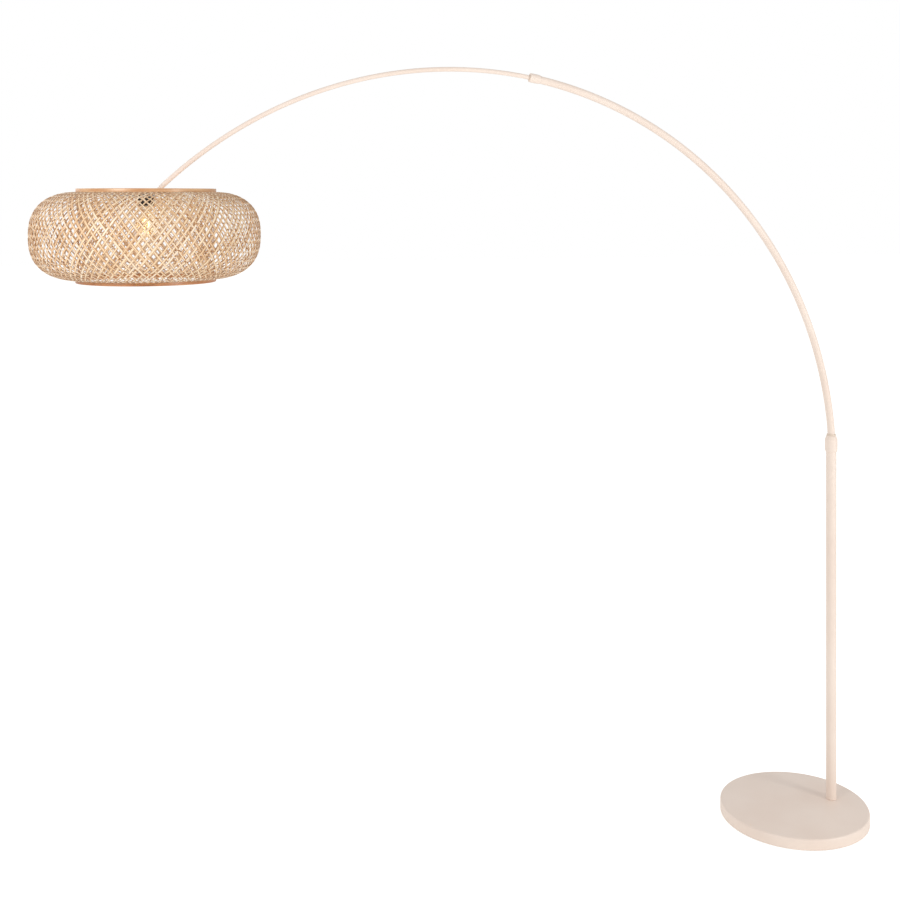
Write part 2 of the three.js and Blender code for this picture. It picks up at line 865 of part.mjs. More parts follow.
function spiderArm(angle) {
  const bore = bodyRadius + holderClearance;
  const wireStart = (bore + spiderPlateDiameter / 2) / 2;
  const plateMiddle = (spiderPlateTop + spiderPlateBottom) / 2;
  const from = new THREE.Vector3(wireStart, spiderWireShift, plateMiddle);
  const to = new THREE.Vector3(tabMiddle, spiderWireShift, hoopPlane);
  const wire = rod(from, to, spiderWireDiameter / 2, wireSides);
  const tab = new THREE.BoxGeometry(spiderTabThickness, spiderTabWidth, spiderTabHeight);
  tab.translate(tabMiddle, 0, hoopPlane);
  const hole = hoopScrewRod(hoopScrewHoleRadius, tabMiddle - overrun, hoopRadius);
  return cut(joined(wire, tab), hole).rotateZ(angle);
}

function spider() {
  const bore = bodyRadius + holderClearance;
  const plate = pipe(spiderPlateDiameter / 2, bore, spiderPlateBottom, spiderPlateTop, postSides);
  const arms = Array.from({ length: spiderArms }, (_, arm) => spiderArm(spiderArmAngle(arm)));
  const clearance = disc(bore, spiderPlateBottom - overrun, spiderPlateTop + overrun, postSides);
  return cut(joined(plate, ...arms), clearance);
}

function spiderScrew(angle) {
  const headOuter = tabMiddle - spiderTabThickness / 2 - seatGap;
  const head = hoopScrewRod(hoopScrewHeadDiameter / 2, headOuter - hoopScrewHeadHeight, headOuter);
  const shankStart = headOuter - hoopScrewHeadHeight / 2;
  const shank = hoopScrewRod(hoopScrewDiameter / 2, shankStart, hoopInnerRadius + hoopScrewBite);
  return joined(head, shank).rotateZ(angle);
}

// Shade
function hoop(plane) {
  return pipe(hoopRadius, hoopInnerRadius, plane - hoopHeight / 2, plane + hoopHeight / 2, shadeSides);
}

function topHoop() {
  const bite = hoopInnerRadius + hoopScrewBite + seatGap;
  const holes = Array.from({ length: spiderArms }, (_, arm) => {
    const hole = hoopScrewRod(hoopScrewHoleRadius, hoopInnerRadius - overrun, bite);
    return hole.rotateZ(spiderArmAngle(arm));
  });
  return cut(hoop(hoopPlane), ...holes);
}

// The bulge: at a share of half the height, the radius grows from the edge's to the widest
function bulge(edgeRadius, widest, middle, halfHeight, falling) {
  const points = [];
  for (let i = 0; i <= bulgeSteps; i += 1) {
    const turn = Math.PI * (i / bulgeSteps - 1 / 2);
    const share = falling ? -Math.sin(turn) : Math.sin(turn);
    const swell = Math.max(0, 1 - Math.abs(share) ** bulgeHeightPower) ** bulgeWidthPower;
    points.push([edgeRadius + (widest - edgeRadius) * swell, middle + halfHeight * share]);
  }
  return points;
}

// A woven layer with diamond openings in staggered rows along its profile, each cut square to the profile
function withOpenings(layer, profile, rows, around) {
  const path = new THREE.Path(profile.map(([radius, height]) => new THREE.Vector2(radius, height)));
  const halfAlong = (openingShare * path.getLength()) / (rows + 1);
  const cutters = [];
  for (let row = 1; row <= rows; row += 1) {
    const centre = path.getPoint(row / (rows + 1));
    const along = path.getTangent(row / (rows + 1));
    const halfAround = (openingShare * Math.PI * centre.x) / around;
    const corners = [[halfAround, 0], [0, halfAlong], [-halfAround, 0], [0, -halfAlong]];
    const shape = new THREE.Shape(corners.map(([x, y]) => new THREE.Vector2(x, y)));
    const cutter = new THREE.ExtrudeGeometry(shape, { depth: 2 * openingReach, bevelEnabled: false });
    // The cutter's length turns to +X and its height to +Z, then both lean with the profile
    cutter.translate(0, 0, -openingReach).rotateX(Math.PI / 2).rotateZ(Math.PI / 2);
    cutter.rotateY(Math.atan2(along.x, along.y)).translate(centre.x, 0, centre.y);
    for (let i = 0; i < around; i += 1) {
      const steps = i + (row % 2) / 2;
      cutters.push(cutter.clone().rotateZ((2 * Math.PI * steps) / around + openingTurn));
    }
  }
  const solid = cutters.reduce((rest, cutter) => rest.subtract(toSolid(cutter)), toSolid(layer));
  // Triangles that lie in one flat facet are merged again
  return fromSolid(solid.asOriginal().simplify(facetFlatness));
}

function outerWeave() {
  const middle = (hoopPlane + lowerHoopPlane) / 2;
  const halfHeight = (hoopSpacing - hoopHeight) / 2 - seatGap;
  const edge = hoopRadius - seatGap;
  const innerEdge = edge - outerWeaveThickness;
  const widest = shadeDiameter / 2;
  const profile = bulge(edge, widest, middle, halfHeight, false);
  const outline = [
    ...profile,
    [innerEdge, middle + halfHeight],
    ...bulge(innerEdge, widest - outerWeaveThickness, middle, halfHeight - outerWeaveThickness, true),
    [innerEdge, middle - halfHeight],
  ];
  const layer = turned(outline, shadeSides);
  return withOpenings(layer, profile, outerOpeningRows, outerOpeningsAround);
}

function innerWeave() {
  const outer = hoopRadius - seatGap - outerWeaveThickness - weaveGap;
  const bottom = lowerHoopPlane + hoopHeight / 2 + seatGap;
  const top = hoopPlane - hoopHeight / 2 - seatGap;
  const layer = pipe(outer, outer - innerWeaveThickness, bottom, top, shadeSides);
  const profile = [[outer, bottom], [outer, top]];
  return withOpenings(layer, profile, innerOpeningRows, innerOpeningsAround);
}

// Lamp
function bulbGlass() {
  const radius = bulbDiameter / 2;
  const centre = glassTop - bulbGlassLength + radius;
  const inner = radius - bulbGlassWall;
  const outerBall = roundPoints(0, centre, radius, -Math.PI / 2, bulbShoulderAngle, 2 * filletSteps);
  const innerBall = roundPoints(0, centre, inner, bulbShoulderAngle, -Math.PI / 2, 2 * filletSteps);
  // Both walls close on the axis exactly
  outerBall[0][0] = 0;
  innerBall.at(-1)[0] = 0;
  const neckBottom = glassTop - bulbNeckLength;
  const outline = [
    ...outerBall,
    [neckRadius, neckBottom],
    [neckRadius, glassTop],
    [neckRadius - bulbGlassWall, glassTop],
    [neckRadius - bulbGlassWall, neckBottom],
    ...innerBall,
  ];
  return turned(outline, smallSides);
}

function bulbCap() {
  const radius = bulbCapDiameter / 2;
  const bottom = glassTop + seatGap;
  const top = contactBottom - seatGap;
  const tipBottom = top - bulbTipHeight;
  const shoulder = bottom + bulbCapLength - bulbTipHeight - bulbTipDiameter / 2;
  const inner = radius - bulbCapWall;
  const outline = [
    [0, shoulder - bulbCapWall],
    [inner, shoulder - bulbCapWall],
    [inner, bottom],
    [radius, bottom],
    [radius, shoulder],
    [bulbTipDiameter / 2, tipBottom],
    [bulbTipDiameter / 2, top],
    [0, top],
  ];
  return turned(outline, smallSides);
}

function bulbStem() {
  const flare = neckRadius - bulbGlassWall - stemClearance;
  const top = glassTop;
  const outline = [
    [0, top - stemLength],
    [stemDiameter / 2, top - stemLength],
    [stemDiameter / 2, top - stemFlareHeight - stemDiameter],
    [flare, top - stemFlareHeight],
    [flare, top],
    [0, top],
  ];
  return turned(outline, pinSides);
}

// Filaments hang from a hub round the stem's end and meet in a small hub below
function filaments() {
  const hubInner = stemDiameter / 2 + stemClearance;
  const hubOuter = hubInner + filamentHubWall;
  const hubTop = glassTop - stemLength + filamentHubWall;
  const top = hubTop - filamentHubWall;
  const foot = top - filamentLength;
  const radius = filamentDiameter / 2;
  const topHub = pipe(hubOuter, hubInner, top, hubTop, pinSides);
  const footHub = disc(filamentHubWall, foot, foot + filamentHubWall, pinSides);
  const parts = [];
  for (let i = 0; i < filamentCount; i += 1) {
    const angle = (2 * Math.PI * (i + 1 / 2)) / filamentCount;
    const hang = new THREE.Vector3(filamentTopSpread / 2, 0, top + radius);
    const end = new THREE.Vector3(filamentFootSpread / 2, 0, foot + radius);
    const upperStart = new THREE.Vector3(hubInner + radius, 0, top + radius);
    const lowerStart = new THREE.Vector3(0, 0, foot + radius);
    const upperWire = rod(upperStart, hang, radius / 2, wireSides);
    const lowerWire = rod(lowerStart, end, radius / 2, wireSides);
    parts.push(rod(hang, end, radius, wireSides).rotateZ(angle));
    parts.push(upperWire.rotateZ(angle), lowerWire.rotateZ(angle));
  }
  return joined(topHub, footHub, ...parts);
}

// The whole lamp
piece('base_cover', baseCover(), creamPaint);
piece('base_weight', baseWeight(), castIron);
piece('base_pad', disc(padDiameter / 2, 0, padThickness, baseSides), blackFoam);
piece('cable_gland', cableGland(), blackRubber);
piece('hollow_bolt', hollowBolt(), zincSteel);
piece('bolt_washer', boltWasher(), zincSteel);
piece('post_foot_plug', postFootPlug(), zincSteel);
piece('post_tube', postTube(), creamPaint);
piece('post_collet', postCollet(), creamNylon);
piece('post_collar', postCollar(), creamPaint);
piece('mast_glide', mastGlide(), creamNylon);
piece('lower_arc', lowerArc(), creamPaint);

const arcEnd = groupOnArc(lowerArcLength);
piece('arc_collet', arcCollet(), creamNylon, arcEnd);
piece('arc_collar', arcCollar(), creamPaint, arcEnd);
piece('upper_glide', upperGlide(), creamNylon);
piece('upper_arc', upperArc(), creamPaint);

const armTip = groupOnArc(pivotDistance);
piece('tip_fork', tipFork(), creamPaint, armTip);
piece('knuckle_screw', knuckleScrew(), zincSteel, armTip);
piece('knuckle_nut', knuckleNut(), zincSteel, armTip);

const head = new THREE.Group();
head.position.set(shadeX, 0, 0);
lamp.add(head);
piece('head_knuckle', headKnuckle(), creamPaint, head);
piece('nipple', nipple(), brass, head);
piece('nipple_nut', nippleNut(), zincSteel, head);
piece('holder_cap', holderCap(), blackPlastic, head);
piece('holder_body', holderBody(), blackPlastic, head);
piece('holder_insert', holderInsert(), porcelain, head);
piece('centre_contact', centreContact(), brass, head);
piece('screw_shell', screwShell(), brass, head);
piece('shade_ring', shadeRing(), blackPlastic, head);
piece('spider', spider(), creamPaint, head);
for (let arm = 0; arm < spiderArms; arm += 1) {
  piece(`spider_screw_${arm + 1}`, spiderScrew(spiderArmAngle(arm)), zincSteel, head);
}
piece('top_hoop', topHoop(), ashWood, head);
piece('bottom_hoop', hoop(lowerHoopPlane), ashWood, head);
piece('outer_weave', outerWeave(), bamboo, head);
piece('inner_weave', innerWeave(), bamboo, head);
piece('bulb_cap', bulbCap(), brass, head);
piece('bulb_glass', bulbGlass(), clearGlass, head);
piece('bulb_stem', bulbStem(), clearGlass, head);
piece('filaments', filaments(), glowingPhosphor, head);

export default lamp;
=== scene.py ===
# %% [markdown]
# # An arc floor lamp with a woven bamboo shade
#
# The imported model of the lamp, the frame, holds each solid of the real lamp in its place, and says which of
# them move together. Here each visible piece gets a finer surface where it needs one, and every piece gets
# a finish worked out from nodes. Everything is in metres. The floor is at z = 0, and the arm reaches out
# along -X.

# %% Load the frame
import functools
import json
import math

import bmesh
import bpy
import numpy as np
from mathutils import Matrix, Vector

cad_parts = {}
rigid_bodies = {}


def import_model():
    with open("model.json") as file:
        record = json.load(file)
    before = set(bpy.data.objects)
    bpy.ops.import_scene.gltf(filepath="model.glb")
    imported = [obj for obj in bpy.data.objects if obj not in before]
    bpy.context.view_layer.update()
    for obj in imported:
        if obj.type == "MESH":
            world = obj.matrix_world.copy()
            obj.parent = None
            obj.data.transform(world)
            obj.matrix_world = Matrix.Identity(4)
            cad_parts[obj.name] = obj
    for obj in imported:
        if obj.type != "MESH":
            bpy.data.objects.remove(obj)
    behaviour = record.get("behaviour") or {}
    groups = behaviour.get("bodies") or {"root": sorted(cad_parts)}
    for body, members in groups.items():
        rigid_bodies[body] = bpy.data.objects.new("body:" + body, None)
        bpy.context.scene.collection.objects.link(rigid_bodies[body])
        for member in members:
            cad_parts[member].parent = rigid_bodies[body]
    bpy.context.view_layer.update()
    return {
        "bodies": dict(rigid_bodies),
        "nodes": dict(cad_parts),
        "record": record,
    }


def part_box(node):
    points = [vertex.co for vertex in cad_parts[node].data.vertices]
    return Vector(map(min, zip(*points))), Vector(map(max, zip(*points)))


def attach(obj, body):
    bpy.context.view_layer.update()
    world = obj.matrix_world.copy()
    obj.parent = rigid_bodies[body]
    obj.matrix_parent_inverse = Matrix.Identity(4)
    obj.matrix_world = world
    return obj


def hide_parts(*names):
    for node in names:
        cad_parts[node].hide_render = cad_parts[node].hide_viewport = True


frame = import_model()
SLOT_OF_NODE = {part["node"]: part["material_slot"] for part in frame["record"]["subparts"]}
BODIES = frame["record"]["behaviour"]["bodies"]
BODY_OF_NODE = {node: body for body, nodes in BODIES.items() for node in nodes}
print("frame nodes:", len(SLOT_OF_NODE), "bodies:", sorted(BODIES))

# %% [markdown]
# ## The camera
#
# In the photograph the post is upright and both hoops of the shade are level, so the camera was held level.
# The top hoop is seen edge on, so the camera stood at its height, 1.7 m up. The picture shows little above
# that height and much below it, and the shift of the lens says so. Place and lens were fitted to the
# outlines of the base, the post, the arm and the hoops.

# %% Camera
IMAGE_WIDTH_PX = 900
FOCAL_LENGTH_PX = 1278.4
HORIZON_ABOVE_MIDDLE_PX = 253.1
CAMERA_PLACE = (-1.8491, -3.1640, 1.7090)
CAMERA_TURN_DEG = 15.24


def add_object(name, data):
    """Puts a new object with its data into the scene."""
    thing = bpy.data.objects.new(name, data)
    bpy.context.scene.collection.objects.link(thing)
    return thing


def aim(thing, place, backward):
    """Puts a camera or a lamp at a place with its back to a direction. Its matrix has the columns right, up,
    backward and place. A plain list is read in column by column, so the matrix goes over turned."""
    backward = np.array(backward, float) / np.linalg.norm(backward)
    right = np.cross([0.0, 0.0, 1.0], backward)
    right /= np.linalg.norm(right)
    matrix = np.eye(4)
    matrix[:3] = np.stack([right, np.cross(backward, right), backward, place], -1)
    thing.matrix_world = matrix.T.tolist()


camera_data = bpy.data.cameras.new("photograph_camera")
camera_data.lens = FOCAL_LENGTH_PX / IMAGE_WIDTH_PX * camera_data.sensor_width
camera_data.shift_y = -HORIZON_ABOVE_MIDDLE_PX / IMAGE_WIDTH_PX
camera = add_object("photograph_camera", camera_data)
camera_turn = math.radians(CAMERA_TURN_DEG)
aim(camera, CAMERA_PLACE, (-math.sin(camera_turn), -math.cos(camera_turn), 0.0))
bpy.context.scene.camera = camera
print("lens in mm:", round(camera_data.lens, 2))

# %% [markdown]
# ## Colours and nodes
#
# Paint colours are easiest to name as they look on a screen, in sRGB hex. The renderer adds up light, so it
# wants linear numbers, and one function turns the first into the second. One more function adds a node with
# its settings and its links, so that each finish below reads as a short recipe. All finishes of the lamp
# end alike, in a bump and a shader, so that end is written once.

# %% Colour and node helpers
MM = 0.001


def linear(hex_colour):
    """sRGB hex to linear RGBA: c / 12.92 below 0.04045, else ((c + 0.055) / 1.055) to the power 2.4."""
    value = np.array([int(hex_colour[i:i + 2], 16) for i in (1, 3, 5)]) / 255.0
    curved = ((value + 0.055) / 1.055) ** 2.4
    return (*np.where(value <= 0.04045, value / 12.92, curved).tolist(), 1.0)


def add_node(tree, kind, inputs=None, stops=(), **settings):
    """Adds a node with its own settings, its inputs and, for a colour ramp, its stops of position and colour.
    An input is a value, another node's output, or a node, which stands for its first output."""
    node = tree.nodes.new("ShaderNode" + kind)
    for name, value in settings.items():
        setattr(node, name, value)
    for socket, value in (inputs or {}).items():
        if isinstance(value, bpy.types.Node):
            value = value.outputs[0]
        if isinstance(value, bpy.types.NodeSocket):
            tree.links.new(value, node.inputs[socket])
        else:
            node.inputs[socket].default_value = value
    if stops:
        elements = node.color_ramp.elements
        for position, _ in stops[len(elements):]:
            elements.new(position)
        for element, (position, colour) in zip(elements, stops):
            element.position = position
            element.color = linear(colour)
    return node


def new_finish(name, store=bpy.data.materials):
    """A material or a world with no nodes yet, and the function that adds nodes to it."""
    finish = store.new(name)
    finish.use_nodes = True
    finish.node_tree.nodes.clear()
    return finish, functools.partial(add_node, finish.node_tree)


def end_finish(add, height, strength, depth_mm, shader_inputs):
    """Adds a bump that follows a pattern and the shader, and sends that to the surface."""
    bump = add("Bump", {"Height": height, "Strength": strength, "Distance": depth_mm * MM})
    shader = add("BsdfPrincipled", {**shader_inputs, "Normal": bump})
    add("OutputMaterial", {"Surface": shader})


def scale_for(pitch_mm):
    """A noise texture's scale is its number of cells per metre."""
    return 1.0 / (pitch_mm * MM)


print("mid grey is", round(linear("#808080")[0], 3), "in linear light")

# %% [markdown]
# ## Painted steel
#
# The base, the post, the arm and the collars are steel with a polyester powder coat. The powder is sprayed
# on dry and melts in an oven, which leaves a fine waviness like the skin of an orange, about a millimetre
# from crest to crest. It softens the highlights. A second, much larger noise shifts the colour by a hair,
# as thicker and thinner powder does.

# %% Powder coat
PEEL_PITCH_MM = 1.2
DRIFT_PITCH_MM = 160.0


def powder_coat(name, thin, thick):
    """Colour and roughness drift with a wide noise, and the bump follows a fine one."""
    finish, add = new_finish(name)
    place = add("TexCoord").outputs["Object"]
    drift = add("TexNoise", {"Vector": place, "Scale": scale_for(DRIFT_PITCH_MM), "Detail": 2.0})
    peel = add("TexNoise", {"Vector": place, "Scale": scale_for(PEEL_PITCH_MM), "Detail": 1.0})
    end_finish(add, peel, 0.1, 0.06, {
        "Base Color": add("ValToRGB", {"Fac": drift}, [(0.35, thin), (0.65, thick)]),
        "Roughness": add("MapRange", {"Value": drift, "To Min": 0.42, "To Max": 0.5}),
        "IOR": 1.5,
    })
    return finish


cream_powder_coat = powder_coat("cream_powder_coat", "#EAD8CB", "#EEDED2")
print("made", cream_powder_coat.name)

# %% [markdown]
# ## Split bamboo
#
# The shade is woven from splints, thin flat strips split and shaved from a bamboo culm, with a clear satin
# lacquer. Each has its own tint, from pale straw to light tan, and fibres along its length. Its rims are
# painted darker and browner: painted shade, where the splint's sides turn away from the light. Every quarter
# of a metre or so a darker band crosses it, a joint of the culm. The material reads two things that are
# stored on the mesh: a tint for each splint, and a UV map whose U runs across the splint and whose V runs
# along it in metres.

# %% Split bamboo
FIBRE_LENGTH_MM = 60.0
FIBRE_WIDTH_SHARE = 0.12
CULM_JOINT_SPACING_MM = 240.0
CULM_JOINT_SHARE = 0.012
# Where the painted shade along a splint's rims starts, as a share of the way across it.
RIM_SHADE_START = 0.3
TINT_SCATTER = 7.3


def split_bamboo(name, pale, straw, tan, edge):
    """Fibre noise and tint choose the colour, which goes over to edge at the rims, as painted shade,
    and in the culm's joints.
    A joint is where the fraction of (V / spacing + scatter * tint) is below a small share."""
    finish, add = new_finish(name)
    tint = add("Attribute", attribute_name="tint").outputs["Fac"]
    place = add("UVMap", uv_map="splint")
    stretch = (1.0 / FIBRE_WIDTH_SHARE, scale_for(FIBRE_LENGTH_MM), 1.0)
    stretched = add("Mapping", {"Vector": place, "Scale": stretch})
    shifted = add("VectorMath", {0: stretched, 1: tint}, operation="ADD")
    fibre = add("TexNoise", {"Vector": shifted, "Scale": 1.0, "Detail": 3.0})
    mixed = add("Math", {0: fibre, 1: 0.45, 2: tint}, operation="MULTIPLY_ADD")
    skin = add("ValToRGB", {"Fac": mixed}, [(0.15, pale), (0.55, straw), (1.0, tan)])
    across, along, _ = add("SeparateXYZ", {"Vector": place}).outputs
    offset = add("Math", {0: across, 1: 0.5}, operation="SUBTRACT")
    from_middle = add("Math", {0: offset}, operation="ABSOLUTE")
    # The rims of each splint are painted darker: painted shade where its sides turn from the light.
    rim_shade = add("MapRange", {"Value": from_middle, "From Min": RIM_SHADE_START, "From Max": 0.5})
    culms = add("Math", {0: along, 1: scale_for(CULM_JOINT_SPACING_MM)}, operation="MULTIPLY")
    scattered = add("Math", {0: tint, 1: TINT_SCATTER, 2: culms}, operation="MULTIPLY_ADD")
    fraction = add("Math", {0: scattered}, operation="FRACT")
    joint = add("Math", {0: fraction, 1: CULM_JOINT_SHARE}, operation="LESS_THAN")
    # Painted shade at the rims and the real joints of the culm both take the last colour.
    rim_shade_and_joint = add("Math", {0: rim_shade, 1: joint}, operation="MAXIMUM")
    colour = add("Mix", {0: rim_shade_and_joint, 6: skin, 7: linear(edge)}, data_type="RGBA")
    end_finish(add, fibre, 0.35, 0.1, {
        "Base Color": colour.outputs[2],
        "Roughness": add("MapRange", {"Value": fibre, "To Min": 0.38, "To Max": 0.55}),
        "IOR": 1.5,
        "Coat Weight": 0.15,
        "Coat Roughness": 0.3,
    })
    return finish


# The last colour, #A06C3D, is the painted shade at the splints' rims and the colour of the culm joints.
lacquered_bamboo = split_bamboo("lacquered_split_bamboo", "#F8E7D0", "#EDD0AA", "#D2A272", "#A06C3D")
print("made", lacquered_bamboo.name)

# %% [markdown]
# ## Bent wood
#
# The hoops are thin laths steamed and bent into rings. Their grain runs round the ring, so the pattern is
# read from a UV map whose U is the distance round the ring and whose V is the distance round the section,
# in metres. Each ring is closed by a long slanting joint, which shows as a thin dark line. On the map that
# line is where U minus a start stays at a fixed multiple of V. Both hoops are one wood. The lower hoop's
# copy is painted darker, as painted shade under the bulge of the weave.

# %% Bent wood
GRAIN_LENGTH_MM = 90.0
GRAIN_WIDTH_MM = 1.6
GRAIN_DRIFTS_PER_METRE = 14.0
JOINT_START = 0.100
JOINT_SLANT = 5.0
JOINT_LINE = 0.0016


def bent_wood(name, light, mid, dark, seam):
    """A long grain on a wide drift chooses the colour, with the joint's line on top."""
    finish, add = new_finish(name)
    place = add("UVMap", uv_map="surface")
    stretch = (scale_for(GRAIN_LENGTH_MM), scale_for(GRAIN_WIDTH_MM), 1.0)
    stretched = add("Mapping", {"Vector": place, "Scale": stretch})
    grain = add("TexNoise", {"Vector": stretched, "Scale": 1.0, "Detail": 4.0})
    wide = add("TexNoise", {"Vector": place, "Scale": GRAIN_DRIFTS_PER_METRE, "Detail": 1.0})
    mixed = add("Math", {0: wide, 1: 0.6, 2: grain}, operation="MULTIPLY_ADD")
    grained = add("ValToRGB", {"Fac": mixed}, [(0.55, light), (0.8, mid), (1.0, dark)])
    around, along, _ = add("SeparateXYZ", {"Vector": place}).outputs
    line = add("Math", {0: along, 1: JOINT_SLANT, 2: JOINT_START}, operation="MULTIPLY_ADD")
    joint = add("Math", {0: around, 1: line, 2: JOINT_LINE}, operation="COMPARE")
    colour = add("Mix", {0: joint, 6: grained, 7: linear(seam)}, data_type="RGBA")
    end_finish(add, grain, 0.3, 0.1, {
        "Base Color": colour.outputs[2],
        "Roughness": add("MapRange", {"Value": grain, "To Min": 0.32, "To Max": 0.48}),
        "IOR": 1.5,
        "Coat Weight": 0.25,
        "Coat Roughness": 0.25,
    })
    return finish


pale_lacquered_wood = bent_wood("pale_lacquered_bent_wood", "#E3BA8E", "#D4A679", "#C38B5C", "#85552F")
# The lower hoop's copy is the same wood painted darker, as painted shade under the bulge of the weave.
shaded_lacquered_wood = bent_wood("shaded_lacquered_bent_wood", "#CD9565", "#BA7D4F", "#9C6238", "#6A4024")
print("made", pale_lacquered_wood.name, "and", shaded_lacquered_wood.name)

# %% [markdown]
# ## Plain finishes, and a finish for every solid
#
# The remaining finishes are one recipe with other numbers: a colour that drifts between two tones, and a
# roughness and a fine bump that follow the same noise. It stands for what the making left behind: sand in
# the cast iron, cells in the foam, moulding in the plastics, the bath in the zinc plating.
#
# Nearly all light goes straight through the lamp's thin clear glass, so it is mostly see-through. It has a
# faint amber emission, a painted glow of the sticks' light in the glass. The four sticks in it are coated
# with an amber phosphor that glows. The weave is lit by a small light of the renderer in the middle of the
# glass, which gives less noise than four thin sticks.
#
# The record names a slot for each solid, such as its paint or its wood. Giving each slot a finish dresses
# all the solids at once, those that stay inside the lamp too.

# %% Plain finishes, and dressing the frame


def plain_finish(name, tones, pitch_mm, roughness, bump_mm=0.01, more=None, detail=3.0, strength=0.6):
    """One noise moves the colour between two tones, the roughness between two values, and the bump.
    more holds further inputs of the shader."""
    finish, add = new_finish(name)
    place = add("TexCoord").outputs["Object"]
    noise = add("TexNoise", {"Vector": place, "Scale": scale_for(pitch_mm), "Detail": detail})
    colour = add("ValToRGB", {"Fac": noise}, [(0.3, tones[0]), (0.7, tones[1])])
    end_finish(add, noise, strength, bump_mm, {
        "Base Color": colour,
        "Roughness": add("MapRange", {"Value": noise, "To Min": roughness[0], "To Max": roughness[1]}),
        "Emission Color": colour,
        "IOR": 1.5,
        **(more or {}),
    })
    return finish


METAL, GLOWING = {"Metallic": 1.0}, {"Emission Strength": 4.0}
# The glass's faint amber emission is a painted glow: the lit sticks' light seen in the glass.
CLEAR_WITH_PAINTED_GLOW = {"IOR": 1.45, "Alpha": 0.13, "Emission Color": linear("#FFD58A"), "Emission Strength": 0.03}
# Name, tones, the noise's pitch in mm, roughness, bump depth in mm, further inputs, detail, bump strength.
PLAIN_FINISHES = {
    "cast_iron": ("grey_cast_iron", ("#3B3B3D", "#4F4E4D"), 1.8, (0.55, 0.8), 0.2, {"Metallic": 0.9}),
    "foam": ("black_eva_foam", ("#252527", "#333335"), 0.9, (0.8, 0.95), 0.1),
    "rubber": ("black_moulded_rubber", ("#19191B", "#232325"), 1.2, (0.6, 0.75), 0.04),
    "black_plastic": ("black_moulded_phenolic", ("#0E0E10", "#151517"), 1.5, (0.28, 0.38)),
    "cream_nylon": ("cream_moulded_nylon", ("#DCCAB8", "#E3D3C2"), 2.0, (0.4, 0.5), 0.01, {"IOR": 1.53}),
    "zinc_steel": ("zinc_plated_steel", ("#B4B8BC", "#C8CBCE"), 2.5, (0.25, 0.42), 0.01, METAL),
    "brass": ("spun_brass", ("#C49B52", "#D9B26A"), 2.5, (0.22, 0.36), 0.01, METAL),
    "porcelain": ("glazed_porcelain", ("#EDE9E1", "#F4F1EA"), 3.0, (0.2, 0.3), 0.01, {"Coat Weight": 0.3}),
    "clear_glass": ("clear_soda_glass", ("#B4AEA0", "#B4AEA0"), 12.0, (0.03, 0.03), 0.2, CLEAR_WITH_PAINTED_GLOW, 1.0, 0.1),
    "phosphor": ("amber_phosphor", ("#FFD884", "#FFE9A8"), 2.0, (0.5, 0.5), 0.0, GLOWING, 1.0),
}
FINISH_OF_SLOT = {
    "cream_paint": cream_powder_coat,
    "ash_wood": pale_lacquered_wood,
    "bamboo": lacquered_bamboo,
    **{slot: plain_finish(*numbers) for slot, numbers in PLAIN_FINISHES.items()},
}
for node_name, solid in frame["nodes"].items():
    solid.data.materials.clear()
    solid.data.materials.append(FINISH_OF_SLOT[SLOT_OF_NODE[node_name]])
print("dressed", len(frame["nodes"]), "solids with", len(FINISH_OF_SLOT), "finishes")

# %% [markdown]
# ## Surfaces from two parameters
#
# Nearly everything here is round: a section turned about a straight axis, as the post is, or carried along
# a bent one, as the arm's tubes are. A point of the section has a distance along the axis and a distance
# from it, and goes round in the two directions square to it. Corners of a section are softened first,
# because no real edge is perfectly sharp, and the small round on an edge catches the light.

# %% Sections
ROUND_STEPS = 4
EDGE_RADIUS = 0.4 * MM
LEAST_LENGTH = 1e-12


def softened(outline, radius=EDGE_RADIUS, closed=True):
    """Each corner becomes a short curve, from radius before it to radius past it, at most half of each side:
    (1-t)^2 start + 2t(1-t) corner + t^2 end. Corners can have a radius each."""
    corner = np.asarray(outline, float)
    sides = np.stack([np.roll(corner, 1, 0), np.roll(corner, -1, 0)]) - corner
    length = np.linalg.norm(sides, axis=-1, keepdims=True)
    reach = np.minimum(np.broadcast_to(radius, len(corner))[:, None], length.min(0) / 2)
    start, end = corner + sides / np.maximum(length, LEAST_LENGTH) * reach
    t = np.linspace(0, 1, ROUND_STEPS + 1)[:, None, None]
    points = ((1 - t) ** 2 * start + 2 * t * (1 - t) * corner + t ** 2 * end).transpose(1, 0, 2)
    if closed:
        return points.reshape(-1, 2)
    return np.vstack([corner[:1], points[1:-1].reshape(-1, 2), corner[-1:]])


def divided(outline, spacing, closed=True):
    """The same outline with points added, so that no side is longer than spacing."""
    points = []
    for start, end in zip(outline, np.roll(outline, -1, 0) if closed else outline[1:]):
        count = max(int(np.ceil(np.linalg.norm(end - start) / spacing)), 1)
        points.append(start + (end - start) * np.arange(count)[:, None] / count)
    return np.vstack(points if closed else [*points, outline[-1:]])


def ring(foot, top, bore, radius):
    """The section of a plain ring or tube, or of a disc where the bore is zero and the section stays open."""
    return [(foot, bore), (foot, radius), (top, radius), (top, bore)]


def rectangle(width, height, corner=EDGE_RADIUS, centre=(0.0, 0.0)):
    """A rectangle with rounded corners as a loop of (right, up) points."""
    x, y = width / 2, height / 2
    return softened([(-x, -y), (x, -y), (x, y), (-x, y)], corner) + np.asarray(centre)


print("a softened square has", len(rectangle(1.0, 1.0, 0.1)), "points")

# %% Axes and turned surfaces
X, Y, Z = np.eye(3)


def level(angle):
    """The level direction at an angle from +X."""
    return math.cos(angle) * X + math.sin(angle) * Y


def upright_axis(x, turn=0.0):
    """A vertical axis over the X axis. The distance along it is the height, and sections start at turn."""
    first, second = level(turn), level(turn + math.pi / 2)
    return lambda height: (x * X + height[:, None] * Z, first, second)


